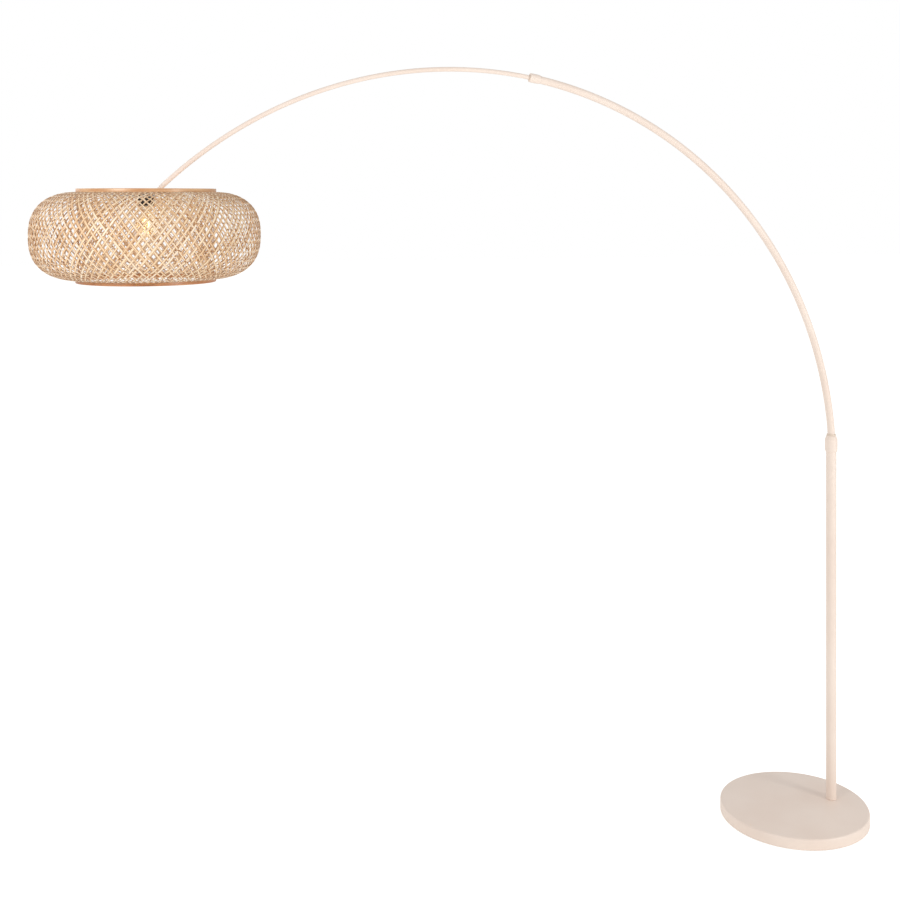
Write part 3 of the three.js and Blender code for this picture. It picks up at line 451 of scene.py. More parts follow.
def straight_axis(start, direction, side):
    """A straight axis from a point along a direction, with side as the first direction square to it."""
    start, direction, side = (np.asarray(v, float) for v in (start, direction, side))
    direction = direction / np.linalg.norm(direction)
    first = side - direction * side.dot(direction)
    first = first / np.linalg.norm(first)
    second = np.cross(direction, first)
    return lambda distance: (start + distance[:, None] * direction, first, second)


def grid_faces(rows, columns, close_rows, close_columns):
    """Quads between neighbouring rows and columns of a grid, and each corner's unwrapped row and column."""
    row, column = np.meshgrid(np.arange(rows if close_rows else rows - 1),
                              np.arange(columns if close_columns else columns - 1), indexing="ij")
    corner_row = np.stack([row, row, row + 1, row + 1], -1).reshape(-1, 4)
    corner_column = np.stack([column, column + 1, column + 1, column], -1).reshape(-1, 4)
    return corner_row % rows * columns + corner_column % columns, corner_row, corner_column


def turned_surface(outline, axis, sides, closed=True, relief=None):
    """Points, quads and UV of a section carried round an axis: centre + r cos(a) first + r sin(a) second.
    outline holds (distance along the axis, distance from it). relief(distance, radius, angle) changes the
    radius. U is the way round and V the way along, in metres."""
    outline = np.asarray(outline, float)
    centre, first, second = axis(outline[:, 0])
    angle = np.linspace(0, 2 * np.pi, sides, endpoint=False)[None, :, None]
    distance, radius = outline[:, 0][:, None, None], outline[:, 1][:, None, None]
    if relief:
        radius = relief(distance, radius, angle)
    first, second = (np.broadcast_to(v, centre.shape)[:, None] for v in (first, second))
    points = centre[:, None] + radius * (np.cos(angle) * first + np.sin(angle) * second)
    quads, row, column = grid_faces(len(outline), sides, closed, True)
    step = np.linalg.norm(np.diff(outline, axis=0, append=outline[:1]), axis=1)
    along = np.concatenate([[0.0], np.cumsum(step)])
    around = 2 * np.pi * outline[:, 1].max() / sides
    return points.reshape(-1, 3), quads, np.stack([column * around, along[row]], -1).reshape(-1, 2)


def hexagon(across):
    """Six flats: the radius is at most across / 2 / cos(angle from a flat's middle)."""
    half, flat = np.pi / 6, across / 2
    return lambda _, radius, angle: np.minimum(radius, flat / np.cos((angle + half) % (2 * half) - half))


def thread(pitch, depth, start, end, least_radius=0.0):
    """A screw thread between two distances: depth / 2 times cos(2 pi distance / pitch - angle)."""
    def relief(distance, radius, angle):
        fade = np.clip(np.minimum(distance - start, end - distance) / pitch, 0.0, 1.0)
        wave = (radius > least_radius) * np.cos(2 * np.pi * distance / pitch - angle)
        return radius + fade * depth / 2 * wave
    return relief


def flutes(count, depth, least_radius):
    """Grooves along the outside of a grip, where the radius is over a least one."""
    return lambda _, radius, angle: radius - (radius > least_radius) * depth / 2 * (1 - np.cos(count * angle))


print("axes, turned surfaces and reliefs ready")

# %% [markdown]
# Flat parts, such as the cheeks of the fork, are plates: an edge loop with a thickness and rounded rims.

# %% Plates and joined surfaces


def plate_surface(edge, thickness, origin, right, up):
    """A flat plate with rounded rims, from its edge, a loop of (right, up) points. Each row of points is the
    loop at some depth, drawn in a little at the rims and down to the loop's middle on both faces."""
    edge, origin, right, up = (np.asarray(v, float) for v in (edge, origin, right, up))
    tangent = np.roll(edge, -1, 0) - np.roll(edge, 1, 0)
    outward = np.stack([tangent[:, 1], -tangent[:, 0]], -1) / np.linalg.norm(tangent, axis=1, keepdims=True)
    half, third = thickness / 2, EDGE_RADIUS / 3
    rows = [(half, EDGE_RADIUS), (half - third, third), (half - EDGE_RADIUS, 0.0)]
    rows = rows + [(-depth, inset) for depth, inset in reversed(rows)]
    middle = np.broadcast_to(edge.mean(0), edge.shape)
    loops = [(half, middle), *((depth, edge - inset * outward) for depth, inset in rows), (-half, middle)]
    deep = np.cross(right, up)
    points = [origin + loop[:, :1] * right + loop[:, 1:] * up + depth * deep for depth, loop in loops]
    quads, row, column = grid_faces(len(loops), len(edge), False, True)
    uv = np.stack([column / len(edge), row / len(loops)], -1)
    return np.vstack(points), quads, uv.reshape(-1, 2)


def joined_surface(*surfaces):
    """Several surfaces as one, with the numbers of the later points moved on."""
    points, quads, uv = zip(*surfaces)
    first = np.cumsum([0, *(len(some) for some in points[:-1])])
    return np.vstack(points), np.vstack([some + start for some, start in zip(quads, first)]), np.vstack(uv)


print("plates ready")

# %% [markdown]
# Every new piece goes through one function. A piece that stands for a solid of the frame takes its body
# from that solid, so it moves as the solid does, and its slot and finish too, unless it is given others.

# %% Pieces
MERGE_DISTANCE = 1e-6
CREASE_ANGLE_DEG = 42.0


def make_piece(name, node, surface, body=None, slot=None, finish=None, tint=None):
    """Puts a surface into a mesh, closes its poles, turns its faces outward, and lets it ride a body."""
    points, quads, uv = surface
    body, slot = body or BODY_OF_NODE[node], slot or SLOT_OF_NODE[node]
    mesh = bpy.data.meshes.new(name)
    mesh.from_pydata(points.tolist(), [], quads.tolist())
    layer = mesh.uv_layers.new(name="surface" if tint is None else "splint")
    layer.data.foreach_set("uv", uv.astype(np.float32).ravel())
    if tint is not None:
        mesh.attributes.new("tint", "FLOAT", "POINT").data.foreach_set("value", tint.astype(np.float32))
    work = bmesh.new()
    work.from_mesh(mesh)
    bmesh.ops.remove_doubles(work, verts=work.verts, dist=MERGE_DISTANCE)
    if work.calc_volume(signed=True) < 0:
        bmesh.ops.reverse_faces(work, faces=work.faces)
    work.to_mesh(mesh)
    work.free()
    mesh.shade_smooth()
    mesh.set_sharp_from_angle(angle=math.radians(CREASE_ANGLE_DEG))
    mesh.materials.append(finish or FINISH_OF_SLOT[slot])
    piece = add_object(name, mesh)
    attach(piece, body)
    if node:
        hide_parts(node)
    return piece


def turned_piece(name, node, outline, axis, sides, softness=EDGE_RADIUS, closed=True, relief=None, step=None,
                 finish=None):
    """A piece turned from an outline with softened corners. A relief that changes along the axis comes
    with a step, and the outline is divided into such steps to show it."""
    outline = softened(outline, softness, closed)
    if step:
        outline = divided(outline, step, closed)
    return make_piece(name, node, turned_surface(outline, axis, sides, closed, relief), finish=finish)


def stand(node):
    """An upright round solid: the x of its axis, its lowest and highest level, and its radius."""
    low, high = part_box(node)
    return (low[0] + high[0]) / 2, low[2], high[2], (high[0] - low[0]) / 2


print("piece helpers ready")

# %% [markdown]
# ## The base
#
# The base that shows is a cover pressed from sheet steel, with a tight round along its edge. The cast
# weight is under it. The flex leaves the base through a rubber grommet in its rim, straight behind the
# post.
#
# Small fittings have their outlines in millimetres, as points of the distance along the axis and the
# distance from it. The grommet's distances start at the inner face of the cover's wall.

# %% Base cover and grommet
BASE_SIDES = 192
COVER_WALL, COVER_EDGE_RADIUS = 1.5 * MM, 5.0 * MM
GROMMET_HEIGHT, GROMMET_SOFTNESS, GROMMET_SIDES = 12.0 * MM, 0.8 * MM, 48
GROMMET_MM = [(-2, 3.2), (-2, 7), (0, 7), (0, 5), (1.5, 5), (1.5, 7), (3.5, 5), (3.5, 3.2)]

_, foot, top, cover_radius = stand("base_cover")
under, inside = top - COVER_WALL, cover_radius - COVER_WALL
turned_piece("pressed_base_cover", "base_cover", [
    (under, 0.0), (under, inside), (foot, inside), (foot, cover_radius), (top, cover_radius), (top, 0.0),
], upright_axis(0.0), BASE_SIDES, COVER_EDGE_RADIUS, closed=False)

post_x, post_foot, post_top, post_radius = stand("post_tube")
grommet_out = level(math.acos(post_x / cover_radius))
grommet_axis = straight_axis(inside * grommet_out + GROMMET_HEIGHT * Z, grommet_out, Z)
turned_piece("rubber_grommet", "cable_gland", MM * np.array(GROMMET_MM), grommet_axis, GROMMET_SIDES,
             GROMMET_SOFTNESS)
print("base across:", round(2 * cover_radius, 3))

# %% [markdown]
# ## The post
#
# The post is a straight steel tube that stands on the cover, bolted from below. Its collar is a threaded
# sleeve with a cone at the top: turned a little, it squeezes a slit plastic collet onto the arm's tube, and
# that holds the arm at its height. The collet's lip shows as a narrow ring above the collar.

# %% Post, collar and collet
TUBE_SIDES = 64
POST_WALL, POST_LIP, SEAT_GAP = 1.5 * MM, 0.5 * MM, 0.25 * MM
COLLAR_FOOT_TAPER, COLLAR_FOOT_RADIUS = 5.0 * MM, 14.9 * MM
COLLAR_CONE, COLLAR_CONE_TOP = 11.0 * MM, 13.2 * MM
COLLAR_BORE, COLLAR_MOUTH, COLLAR_SOFTNESS = 14.3 * MM, 11.9 * MM, 1.6 * MM
COLLET_BORE, COLLET_NECK, COLLET_SLEEVE, COLLET_LIP = 10.4 * MM, 11.6 * MM, 12.2 * MM, 12.4 * MM
COLLET_FLANGE, COLLET_LIP_HEIGHT = 2.5 * MM, 4.0 * MM

POST_AXIS = upright_axis(post_x)
turned_piece("post_steel_tube", "post_tube", ring(post_foot, post_top, post_radius - POST_WALL, post_radius),
             POST_AXIS, TUBE_SIDES, POST_LIP)

_, foot, top, radius = stand("post_collar")
cone = top - COLLAR_CONE
turned_piece("post_twist_collar", "post_collar", [
    (foot, COLLAR_FOOT_RADIUS), (foot + COLLAR_FOOT_TAPER, radius), (cone, radius), (top, COLLAR_CONE_TOP),
    (top, COLLAR_MOUTH), (cone, COLLAR_MOUTH), (cone - COLLAR_CONE, COLLAR_BORE), (foot, COLLAR_BORE),
], POST_AXIS, TUBE_SIDES, COLLAR_SOFTNESS)

_, foot, top, _ = stand("post_collet")
flange, lip = post_top + SEAT_GAP, top - COLLET_LIP_HEIGHT
turned_piece("post_slit_collet", "post_collet", [
    (foot, COLLET_SLEEVE), (flange, COLLET_SLEEVE), (flange, post_radius),
    (flange + COLLET_FLANGE, post_radius), (cone, COLLET_NECK), (lip, COLLET_NECK), (lip, COLLET_LIP),
    (top, COLLET_LIP), (top, COLLET_BORE), (foot, COLLET_BORE),
], POST_AXIS, TUBE_SIDES)
print("post height:", round(post_top - post_foot, 3))

# %% [markdown]
# ## The arm
#
# The arm is two bent tubes, the thin one sliding in the thick one, so both follow one circle. The thick
# tube leaves the post straight up, bends in a tighter radius for a few degrees, and then follows the
# circle. Such a path is easiest to write by its lean, the angle between the tube and the vertical: the lean
# grows evenly with the distance along each bend.

# %% Arm centre line
ARC_RADIUS = 1.080
LEAD_IN_RADIUS = 0.300
LEAD_IN_ANGLE = math.radians(6.2)
LEAD_IN_LENGTH = LEAD_IN_RADIUS * LEAD_IN_ANGLE
BEND_START_HEIGHT = 1.041
LOWER_TUBE_LENGTH = 1.419
UPPER_REACH = 1.035

LEAD_CENTRE = (post_x - LEAD_IN_RADIUS) * X + BEND_START_HEIGHT * Z
LEAD_END = math.cos(LEAD_IN_ANGLE) * X + math.sin(LEAD_IN_ANGLE) * Z
ARC_CENTRE = LEAD_CENTRE + (LEAD_IN_RADIUS - ARC_RADIUS) * LEAD_END


def arm_axis(distance):
    """The arm's centre line by distance from the start of the bend: straight below it, then two arcs.
    The first direction points away from the arc's centre, and the second is +Y."""
    lead = np.clip(distance / LEAD_IN_RADIUS, 0.0, LEAD_IN_ANGLE)
    lean = lead + np.maximum(distance - LEAD_IN_LENGTH, 0.0) / ARC_RADIUS
    outward = np.stack([np.cos(lean), 0 * lean, np.sin(lean)], -1)
    on_lead = LEAD_CENTRE + LEAD_IN_RADIUS * outward + np.minimum(distance, 0.0)[:, None] * Z
    centre = np.where((distance <= LEAD_IN_LENGTH)[:, None], on_lead, ARC_CENTRE + ARC_RADIUS * outward)
    return centre, outward, Y


def arm_place(distance):
    """The centre, the outward direction and the direction of the tube at one distance."""
    centre, outward, _ = arm_axis(np.array([distance]))
    return centre[0], outward[0], np.cross(outward[0], Y)


PIVOT_DISTANCE = LOWER_TUBE_LENGTH + UPPER_REACH
pivot, fork_out, fork_up = arm_place(PIVOT_DISTANCE)
print("the head hangs from", [round(v, 4) for v in pivot])

# %% [markdown]
# ## The two tubes and their collar
#
# Each tube is a section of outer wall, lip and inner wall carried along the centre line, with a station
# every few millimetres so that it reads as a true curve. The second collar is a short sleeve with a rounded
# front, which clamps the thin tube in the thick one by a slit collet. These two are turned on a straight
# axis, the tangent at the thick tube's end.

# %% Arm tubes, collar and collet
STATION_SPACING = 12.0 * MM
TAIL_LENGTH, UPPER_OVERLAP, KNUCKLE_SETBACK = 380.0 * MM, 250.0 * MM, 16.0 * MM
LOWER_RADIUS, LOWER_WALL = 10.0 * MM, 1.5 * MM
UPPER_RADIUS, UPPER_WALL = 6.0 * MM, 1.0 * MM
ARM_COLLAR_MM = [(-24, 11.1), (-17, 12), (5, 12), (5, 7.9), (2, 7.9), (2, 10.7), (-24, 10.7)]
ARM_COLLAR_EDGE = 3.0 * MM
ARM_COLLET_MM = [(-21, 8.1), (0.25, 8.1), (0.25, 10), (1.75, 10), (1.75, 7.6), (6.25, 7.6), (6.25, 6.4),
                 (-21, 6.4)]


def bent_tube(name, node, start, end, radius, wall):
    """A tube along the arm: out along the outer wall, over a rounded lip, and back along the inner wall."""
    stations = np.linspace(start + EDGE_RADIUS, end - EDGE_RADIUS, int((end - start) / STATION_SPACING))
    outer = np.stack([stations, np.full_like(stations, radius)], -1)
    inner = outer[::-1] - (0.0, wall)
    lip = (radius - EDGE_RADIUS, radius - wall + EDGE_RADIUS)
    outline = np.vstack([outer, [(end, r) for r in lip], inner, [(start, r) for r in reversed(lip)]])
    return make_piece(name, node, turned_surface(outline, arm_axis, TUBE_SIDES // 2))


bent_tube("lower_bent_tube", "lower_arc", -TAIL_LENGTH, LOWER_TUBE_LENGTH, LOWER_RADIUS, LOWER_WALL)
bent_tube("upper_bent_tube", "upper_arc", LOWER_TUBE_LENGTH - UPPER_OVERLAP, PIVOT_DISTANCE - KNUCKLE_SETBACK,
          UPPER_RADIUS, UPPER_WALL)
tube_end, tube_out, tube_up = arm_place(LOWER_TUBE_LENGTH)
tube_end_axis = straight_axis(tube_end, tube_up, tube_out)
for name, node, outline, softness in (("arm_twist_collar", "arc_collar", ARM_COLLAR_MM, ARM_COLLAR_EDGE),
                                      ("arm_slit_collet", "arc_collet", ARM_COLLET_MM, EDGE_RADIUS / 2)):
    turned_piece(name, node, MM * np.array(outline), tube_end_axis, TUBE_SIDES, softness)
print("the thick tube ends at", [round(v, 4) for v in tube_end])

# %% [markdown]
# ## The hoops
#
# Two bent laths, one inside the other, grip the ends of the splints, so the section is nearly square with a
# groove where the laths meet. The ring is closed by a long slanting joint that two small brass pins hold.
# The lower hoop's joint is at the front, where the photograph shows a pin.

# %% Hoops
HOOP_SIDES = 192
HOOP_WIDTH, HOOP_EDGE_RADIUS = 9.0 * MM, 1.6 * MM
LATH_GROOVE_DEPTH, LATH_GROOVE_WIDTH = 0.6 * MM, 0.5 * MM
# The bottom hoop's darker wood is painted shade.
HOOP_LOOKS = {"top": (50.0, pale_lacquered_wood), "bottom": (-136.0, shaded_lacquered_wood)}
PIN_AFTER_START = (0.104, 0.134)
PIN_RADIUS, PIN_RISE, PIN_SIDES = 1.4 * MM, 0.5 * MM, 24

shade_x, hoop_foot, hoop_top, hoop_radius = stand("top_hoop")


def hoop_outline(foot, top):
    """A square section with a narrow groove in its top and bottom where two laths meet."""
    inner, seam, groove = hoop_radius - HOOP_WIDTH, hoop_radius - HOOP_WIDTH / 2, LATH_GROOVE_WIDTH / 2
    return [
        (foot, seam + groove), (foot, hoop_radius), (top, hoop_radius), (top, seam + groove),
        (top - LATH_GROOVE_DEPTH, seam), (top, seam - groove), (top, inner), (foot, inner),
        (foot, seam - groove), (foot + LATH_GROOVE_DEPTH, seam),
    ]


def hoop_pin(azimuth, height):
    """A domed pin head on the hoop's outer face."""
    out = level(azimuth)
    start = shade_x * X + height * Z + (hoop_radius - PIN_RISE) * out
    dome = softened(ring(0.0, 2 * PIN_RISE, 0.0, PIN_RADIUS), (0.0, 0.0, PIN_RADIUS, 0.0), closed=False)
    return turned_surface(dome, straight_axis(start, out, Z), PIN_SIDES, closed=False)


for hoop, (joint_deg, wood) in HOOP_LOOKS.items():
    _, foot, top, _ = stand(f"{hoop}_hoop")
    start = math.radians(joint_deg)
    turned_piece(f"{hoop}_bent_hoop", f"{hoop}_hoop", hoop_outline(foot, top), upright_axis(shade_x, start),
                 HOOP_SIDES, HOOP_EDGE_RADIUS, finish=wood)
    pins = [hoop_pin(start + distance / hoop_radius, (foot + top) / 2) for distance in PIN_AFTER_START]
    make_piece(f"{hoop}_hoop_pins", None, joined_surface(*pins), "head", "brass")
print("hoops across:", round(2 * hoop_radius, 3))

# %% [markdown]
# ## The woven layers
#
# An image with holes would look flat from the side and cast no true shadows, so every splint is modelled.
# The outer layer is a surface of revolution, the bulge, and two families of splints climb it, one to the
# left and one to the right, crossing to form diamonds.
#
# A splint's way up is given by how far it has turned round the shade. It keeps the same slant everywhere,
# so it turns by dθ = slant · ds / r for each step ds along the bulge. Where the families cross, one is on
# top, and at the next crossing it is below. So a splint's height over the surface is a cosine of its turn,
# and the other family has the same cosine upside down: a plain weave, over one and under one.

# %% Splint surfaces
BULGE_HEIGHT_POWER, BULGE_WIDTH_POWER = 2.5, 0.45
STEPS_PER_CROSSING = 4
SPLINT_THICKNESS = 0.9 * MM
WEAVE_RISE = 0.56 * MM
WIDTH_SCATTER, WIDTH_LIMITS = 0.15, (0.75, 1.25)
SWAY_HALF_WAVES = 3
TINT_LEAST, TINT_SPREAD = 0.05, 0.6
SECTION = np.array([(-0.5, 0.0), (-0.4, 0.5), (0.4, 0.5), (0.5, 0.0), (0.4, -0.5), (-0.4, -0.5)])
SECTION_CAP = np.array([[0, 1, 2, 3], [0, 3, 4, 5]])
random = np.random.default_rng(20)


def bulge(share, edge, widest, middle, half_height):
    """Radius and height at a share of the way, -1 at the lower hoop and 1 at the upper one.
    The radius falls from its widest as (1 - |height share|^2.5)^0.45, with points packed near the hoops."""
    height_share = np.sin(np.pi / 2 * share)
    swell = np.maximum(0.0, 1 - np.abs(height_share) ** BULGE_HEIGHT_POWER) ** BULGE_WIDTH_POWER
    return edge + (widest - edge) * swell, middle + half_height * height_share


def meridian(radius, height, crossings, splints):
    """Along a meridian: distance, radius, height, outward normal and turn, at evenly spaced turns."""
    step = np.hypot(np.diff(radius), np.diff(height))
    distance = np.concatenate([[0.0], np.cumsum(step)])
    turn = np.concatenate([[0.0], np.cumsum(step / ((radius[1:] + radius[:-1]) / 2))])
    whole_turn = np.pi * crossings / splints
    slant = whole_turn / turn[-1]
    stations = np.linspace(0, whole_turn, crossings * STEPS_PER_CROSSING + 1)
    r, z, s = (np.interp(stations, turn * slant, values) for values in (radius, height, distance))
    dr, dz = np.gradient(r, s), np.gradient(z, s)
    length = np.hypot(dr, dz)
    return s, r, z, dz / length, -dr / length, stations, slant


def splint_family(line, splints, side, width, wobble):
    """All splints that lean to one side, as closed strips on a surface of revolution, and their tints.
    Centre of each: (r cos a, r sin a, z) with a = first angle + side · turn, lifted along the normal by
    side · rise · cos(splints · turn). The strip's section is carried along it, square to the splint."""
    s, r, z, normal_r, normal_z, turn, slant = line
    rows, columns = len(s), len(SECTION)
    first = 2 * np.pi * np.arange(splints) / splints + wobble * random.standard_normal(splints)
    sway_size = wobble * random.standard_normal((splints, 1))
    sway_phase = 2 * np.pi * random.random((splints, 1))
    sway = sway_size * np.sin(SWAY_HALF_WAVES * turn / turn[-1] * np.pi + sway_phase)
    angle = first[:, None] + side * turn + sway
    cos_a, sin_a, zero = np.cos(angle), np.sin(angle), np.zeros_like(angle)
    normal = np.stack([normal_r * cos_a, normal_r * sin_a, zero + normal_z], -1)
    up = np.stack([-normal_z * cos_a, -normal_z * sin_a, zero + normal_r], -1)
    along = up + side * slant * np.stack([-sin_a, cos_a, zero], -1)
    along /= np.linalg.norm(along, axis=-1, keepdims=True)
    across = np.cross(normal, along)
    lift = side * WEAVE_RISE * np.cos(splints * turn)
    centre = np.stack([shade_x + r * cos_a, r * sin_a, zero + z], -1) + normal * lift[:, None]
    scatter = (1 + WIDTH_SCATTER * random.standard_normal((splints, 1, 1, 1))).clip(*WIDTH_LIMITS)
    points = centre[:, :, None] + width * scatter * SECTION[:, :1] * across[:, :, None]
    points = points + SPLINT_THICKNESS * SECTION[:, 1:] * normal[:, :, None]
    quads, _, _ = grid_faces(rows, columns, False, True)
    quads = np.vstack([quads, SECTION_CAP[:, ::-1], SECTION_CAP + (rows - 1) * columns])
    uv = np.stack([SECTION[quads % columns, 0] + 0.5, s[quads // columns]], -1)
    quads = quads + np.arange(splints)[:, None, None] * rows * columns
    uv = np.broadcast_to(uv, (splints, *uv.shape))
    tint = np.repeat(TINT_LEAST + TINT_SPREAD * random.random(splints), rows * columns)
    return (points.reshape(-1, 3), quads.reshape(-1, 4), uv.reshape(-1, 2)), tint


print("section points:", len(SECTION))

# %% [markdown]
# The numbers come from counting diamonds and from how much white shows through. Some ninety splints of each
# family fit round the shade, and each crosses the other family some thirty times. A splint is just under
# five millimetres wide and one thick. The outer layer's two families are two pieces, to keep each mesh
# light. The inner layer stands upright between the hoops, and is more open, so that the lit lamp shows
# through both.

# %% Outer and inner layer
OUTER_SPLINTS, OUTER_CROSSINGS, OUTER_WIDTH, OUTER_WOBBLE = 94, 33, 4.7 * MM, 0.0056
INNER_SPLINTS, INNER_CROSSINGS, INNER_WIDTH, INNER_WOBBLE = 40, 14, 2.9 * MM, 0.004
SHADE_RADIUS, INNER_RADIUS, SKIN_INSET = 272.5 * MM, 159.3 * MM, 1.3 * MM
PROFILE_POINTS = 1201

weave_foot = stand("bottom_hoop")[2]
bulge_radius, bulge_height = bulge(np.linspace(-1, 1, PROFILE_POINTS), hoop_radius - SKIN_INSET,
                                   SHADE_RADIUS - SKIN_INSET, (hoop_foot + weave_foot) / 2,
                                   (hoop_foot - weave_foot) / 2)
outer_line = meridian(bulge_radius, bulge_height, OUTER_CROSSINGS, OUTER_SPLINTS)
for side, lean_name in ((1, "left"), (-1, "right")):
    surface, tint = splint_family(outer_line, OUTER_SPLINTS, side, OUTER_WIDTH, OUTER_WOBBLE)
    make_piece(f"outer_{lean_name}_splints", "outer_weave", surface, tint=tint)

inner_height = np.linspace(weave_foot, hoop_foot, PROFILE_POINTS)
inner_line = meridian(np.full(PROFILE_POINTS, INNER_RADIUS), inner_height, INNER_CROSSINGS, INNER_SPLINTS)
surfaces, tints = zip(*(splint_family(inner_line, INNER_SPLINTS, side, INNER_WIDTH, INNER_WOBBLE)
                        for side in (1, -1)))
make_piece("inner_splints", "inner_weave", joined_surface(*surfaces), tint=np.concatenate(tints))
print("slant from the upright:", round(math.degrees(math.atan(outer_line[-1])), 1), "degrees")

# %% [markdown]
# ## The lamp holder
#
# The holder is black moulded plastic: a domed cap, a body with a thread on its outside, and a fluted ring
# that screws up the body and clamps the spider. A spider is the wire carrier that bears the top hoop: a
# plate and three wires, each with a tab that is screwed to the hoop from inside. It is shown plated with
# zinc, like its screws.

# %% Holder and spider
SHADE_AXIS = upright_axis(shade_x)
HOLDER_SIDES = 144
HOLDER_WALL, NIPPLE_HOLE = 2.0 * MM, 5.3 * MM
DOME_SOFTNESS = np.array([0.4, 0.4, 4.0, 0.4, 0.4, 2.0]) * MM
THREAD_STEPS = 6
BODY_THREAD_PITCH, BODY_THREAD_DEPTH, BODY_THREAD_INSET = 2.5 * MM, 0.4 * MM, 4.0 * MM
RING_BORE, RING_FLUTES, RING_FLUTE_DEPTH = 18.2 * MM, 36, 0.8 * MM
PLATE_FOOT, PLATE_THICKNESS, PLATE_RADIUS = -15.5 * MM, 1.5 * MM, 25.0 * MM
WIRE_RADIUS, WIRE_SHIFT, WIRE_SIDES = 2.0 * MM, 4.0 * MM, 24
TAB_THICKNESS, TAB_WIDTH, TAB_HEIGHT, TAB_CORNER = 1.5 * MM, 18.0 * MM, 7.0 * MM, 1.5 * MM
SPIDER_ANGLES_DEG = (60.0, 180.0, 300.0)

_, foot, top, radius = stand("holder_cap")
inside, under = radius - HOLDER_WALL, top - HOLDER_WALL
turned_piece("holder_dome", "holder_cap", [
    (foot, inside), (foot, radius), (top, radius), (top, NIPPLE_HOLE), (under, NIPPLE_HOLE), (under, inside),
], SHADE_AXIS, HOLDER_SIDES, DOME_SOFTNESS)

_, foot, top, radius = stand("holder_body")
body_thread = thread(BODY_THREAD_PITCH, BODY_THREAD_DEPTH, foot + BODY_THREAD_INSET, top - BODY_THREAD_INSET,
                     radius - BODY_THREAD_DEPTH)
body_outline = ring(foot, top, radius - HOLDER_WALL, radius - BODY_THREAD_DEPTH / 2)
turned_piece("holder_threaded_body", "holder_body", body_outline, SHADE_AXIS, HOLDER_SIDES,
             relief=body_thread, step=BODY_THREAD_PITCH / THREAD_STEPS)

_, foot, top, radius = stand("shade_ring")
turned_piece("holder_fluted_ring", "shade_ring", ring(foot, top, RING_BORE, radius), SHADE_AXIS,
             2 * HOLDER_SIDES, relief=flutes(RING_FLUTES, RING_FLUTE_DEPTH, RING_BORE + HOLDER_WALL / 2))

hoop_plane = (hoop_foot + hoop_top) / 2
tab_middle = shade_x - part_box("spider")[0][0] - TAB_THICKNESS / 2
plate_foot = hoop_plane + PLATE_FOOT
plate_top = plate_foot + PLATE_THICKNESS


def spider_arm(angle):
    """One wire of the spider and the tab at its end, turned by an angle about the shade's axis."""
    out, sideways = level(angle), level(angle + math.pi / 2)
    tab = shade_x * X + tab_middle * out + hoop_plane * Z
    plate = shade_x * X + (RING_BORE + PLATE_RADIUS) / 2 * out + (plate_foot + plate_top) / 2 * Z
    wire = softened(ring(0.0, np.linalg.norm(tab - plate), 0.0, WIRE_RADIUS), WIRE_RADIUS / 2, False)
    wire_axis = straight_axis(plate - WIRE_SHIFT * sideways, tab - plate, Z)
    return (turned_surface(wire, wire_axis, WIRE_SIDES, False),
            plate_surface(rectangle(TAB_WIDTH, TAB_HEIGHT, TAB_CORNER), TAB_THICKNESS, tab, sideways, Z))


spider_plate = softened(ring(plate_foot, plate_top, RING_BORE, PLATE_RADIUS))
spider_surfaces = [turned_surface(spider_plate, SHADE_AXIS, HOLDER_SIDES)]
for angle_deg in SPIDER_ANGLES_DEG:
    spider_surfaces += spider_arm(math.radians(angle_deg))
make_piece("wire_spider", "spider", joined_surface(*spider_surfaces), slot="zinc_steel")
print("holder, ring and spider made")

# %% [markdown]
# ## The lamp
#
# The glass is a ball that runs over into a neck. Its outline is an arc, then a curve that leaves the arc
# along its tangent, and the inside wall is the same outline drawn in by the thickness of the glass. The
# brass cap sits inside the black holder, and its coarse round thread turns in a shell of the same thread.

# %% Glass, cap and shell
GLASS_SIDES, BALL_POINTS, SHOULDER_POINTS = 96, 41, 17
GLASS_WALL, SHELL_WALL = 1.0 * MM, 0.5 * MM
NECK_RADIUS, NECK_LENGTH = 12.5 * MM, 8.0 * MM
SHOULDER_LEAN = math.radians(40.0)
LAMP_THREAD_PITCH, LAMP_THREAD_DEPTH, LAMP_THREAD_STEPS = 3.63 * MM, 0.9 * MM, 9
TIP_RADIUS, TIP_HEIGHT = 4.5 * MM, 2.0 * MM
LAMP_CAP_SOFTNESS = np.array([0.0, 0.8, 2.5, 0.5, 0.8, 0.0]) * MM

_, glass_foot, glass_top, ball_radius = stand("bulb_glass")


def glass_outline(inset):
    """The ball and the neck, drawn in by an inset. Points are (height, radius)."""
    lean = np.linspace(-np.pi / 2, SHOULDER_LEAN, BALL_POINTS)
    radius, neck = ball_radius - inset, NECK_RADIUS - inset
    arc = np.stack([glass_foot + ball_radius + radius * np.sin(lean), radius * np.cos(lean)], -1)
    corner = np.array([arc[-1, 0] + (arc[-1, 1] - neck) / math.tan(SHOULDER_LEAN), neck])
    t = np.linspace(0, 1, SHOULDER_POINTS)[1:, None]
    curve = (1 - t) ** 2 * arc[-1] + 2 * t * (1 - t) * corner + t ** 2 * (glass_top - NECK_LENGTH, neck)
    return np.vstack([arc, curve, [(glass_top, neck)]])


glass_wall = np.vstack([glass_outline(0.0), glass_outline(GLASS_WALL)[::-1]])
make_piece("blown_glass", "bulb_glass", turned_surface(glass_wall, SHADE_AXIS, GLASS_SIDES, False))

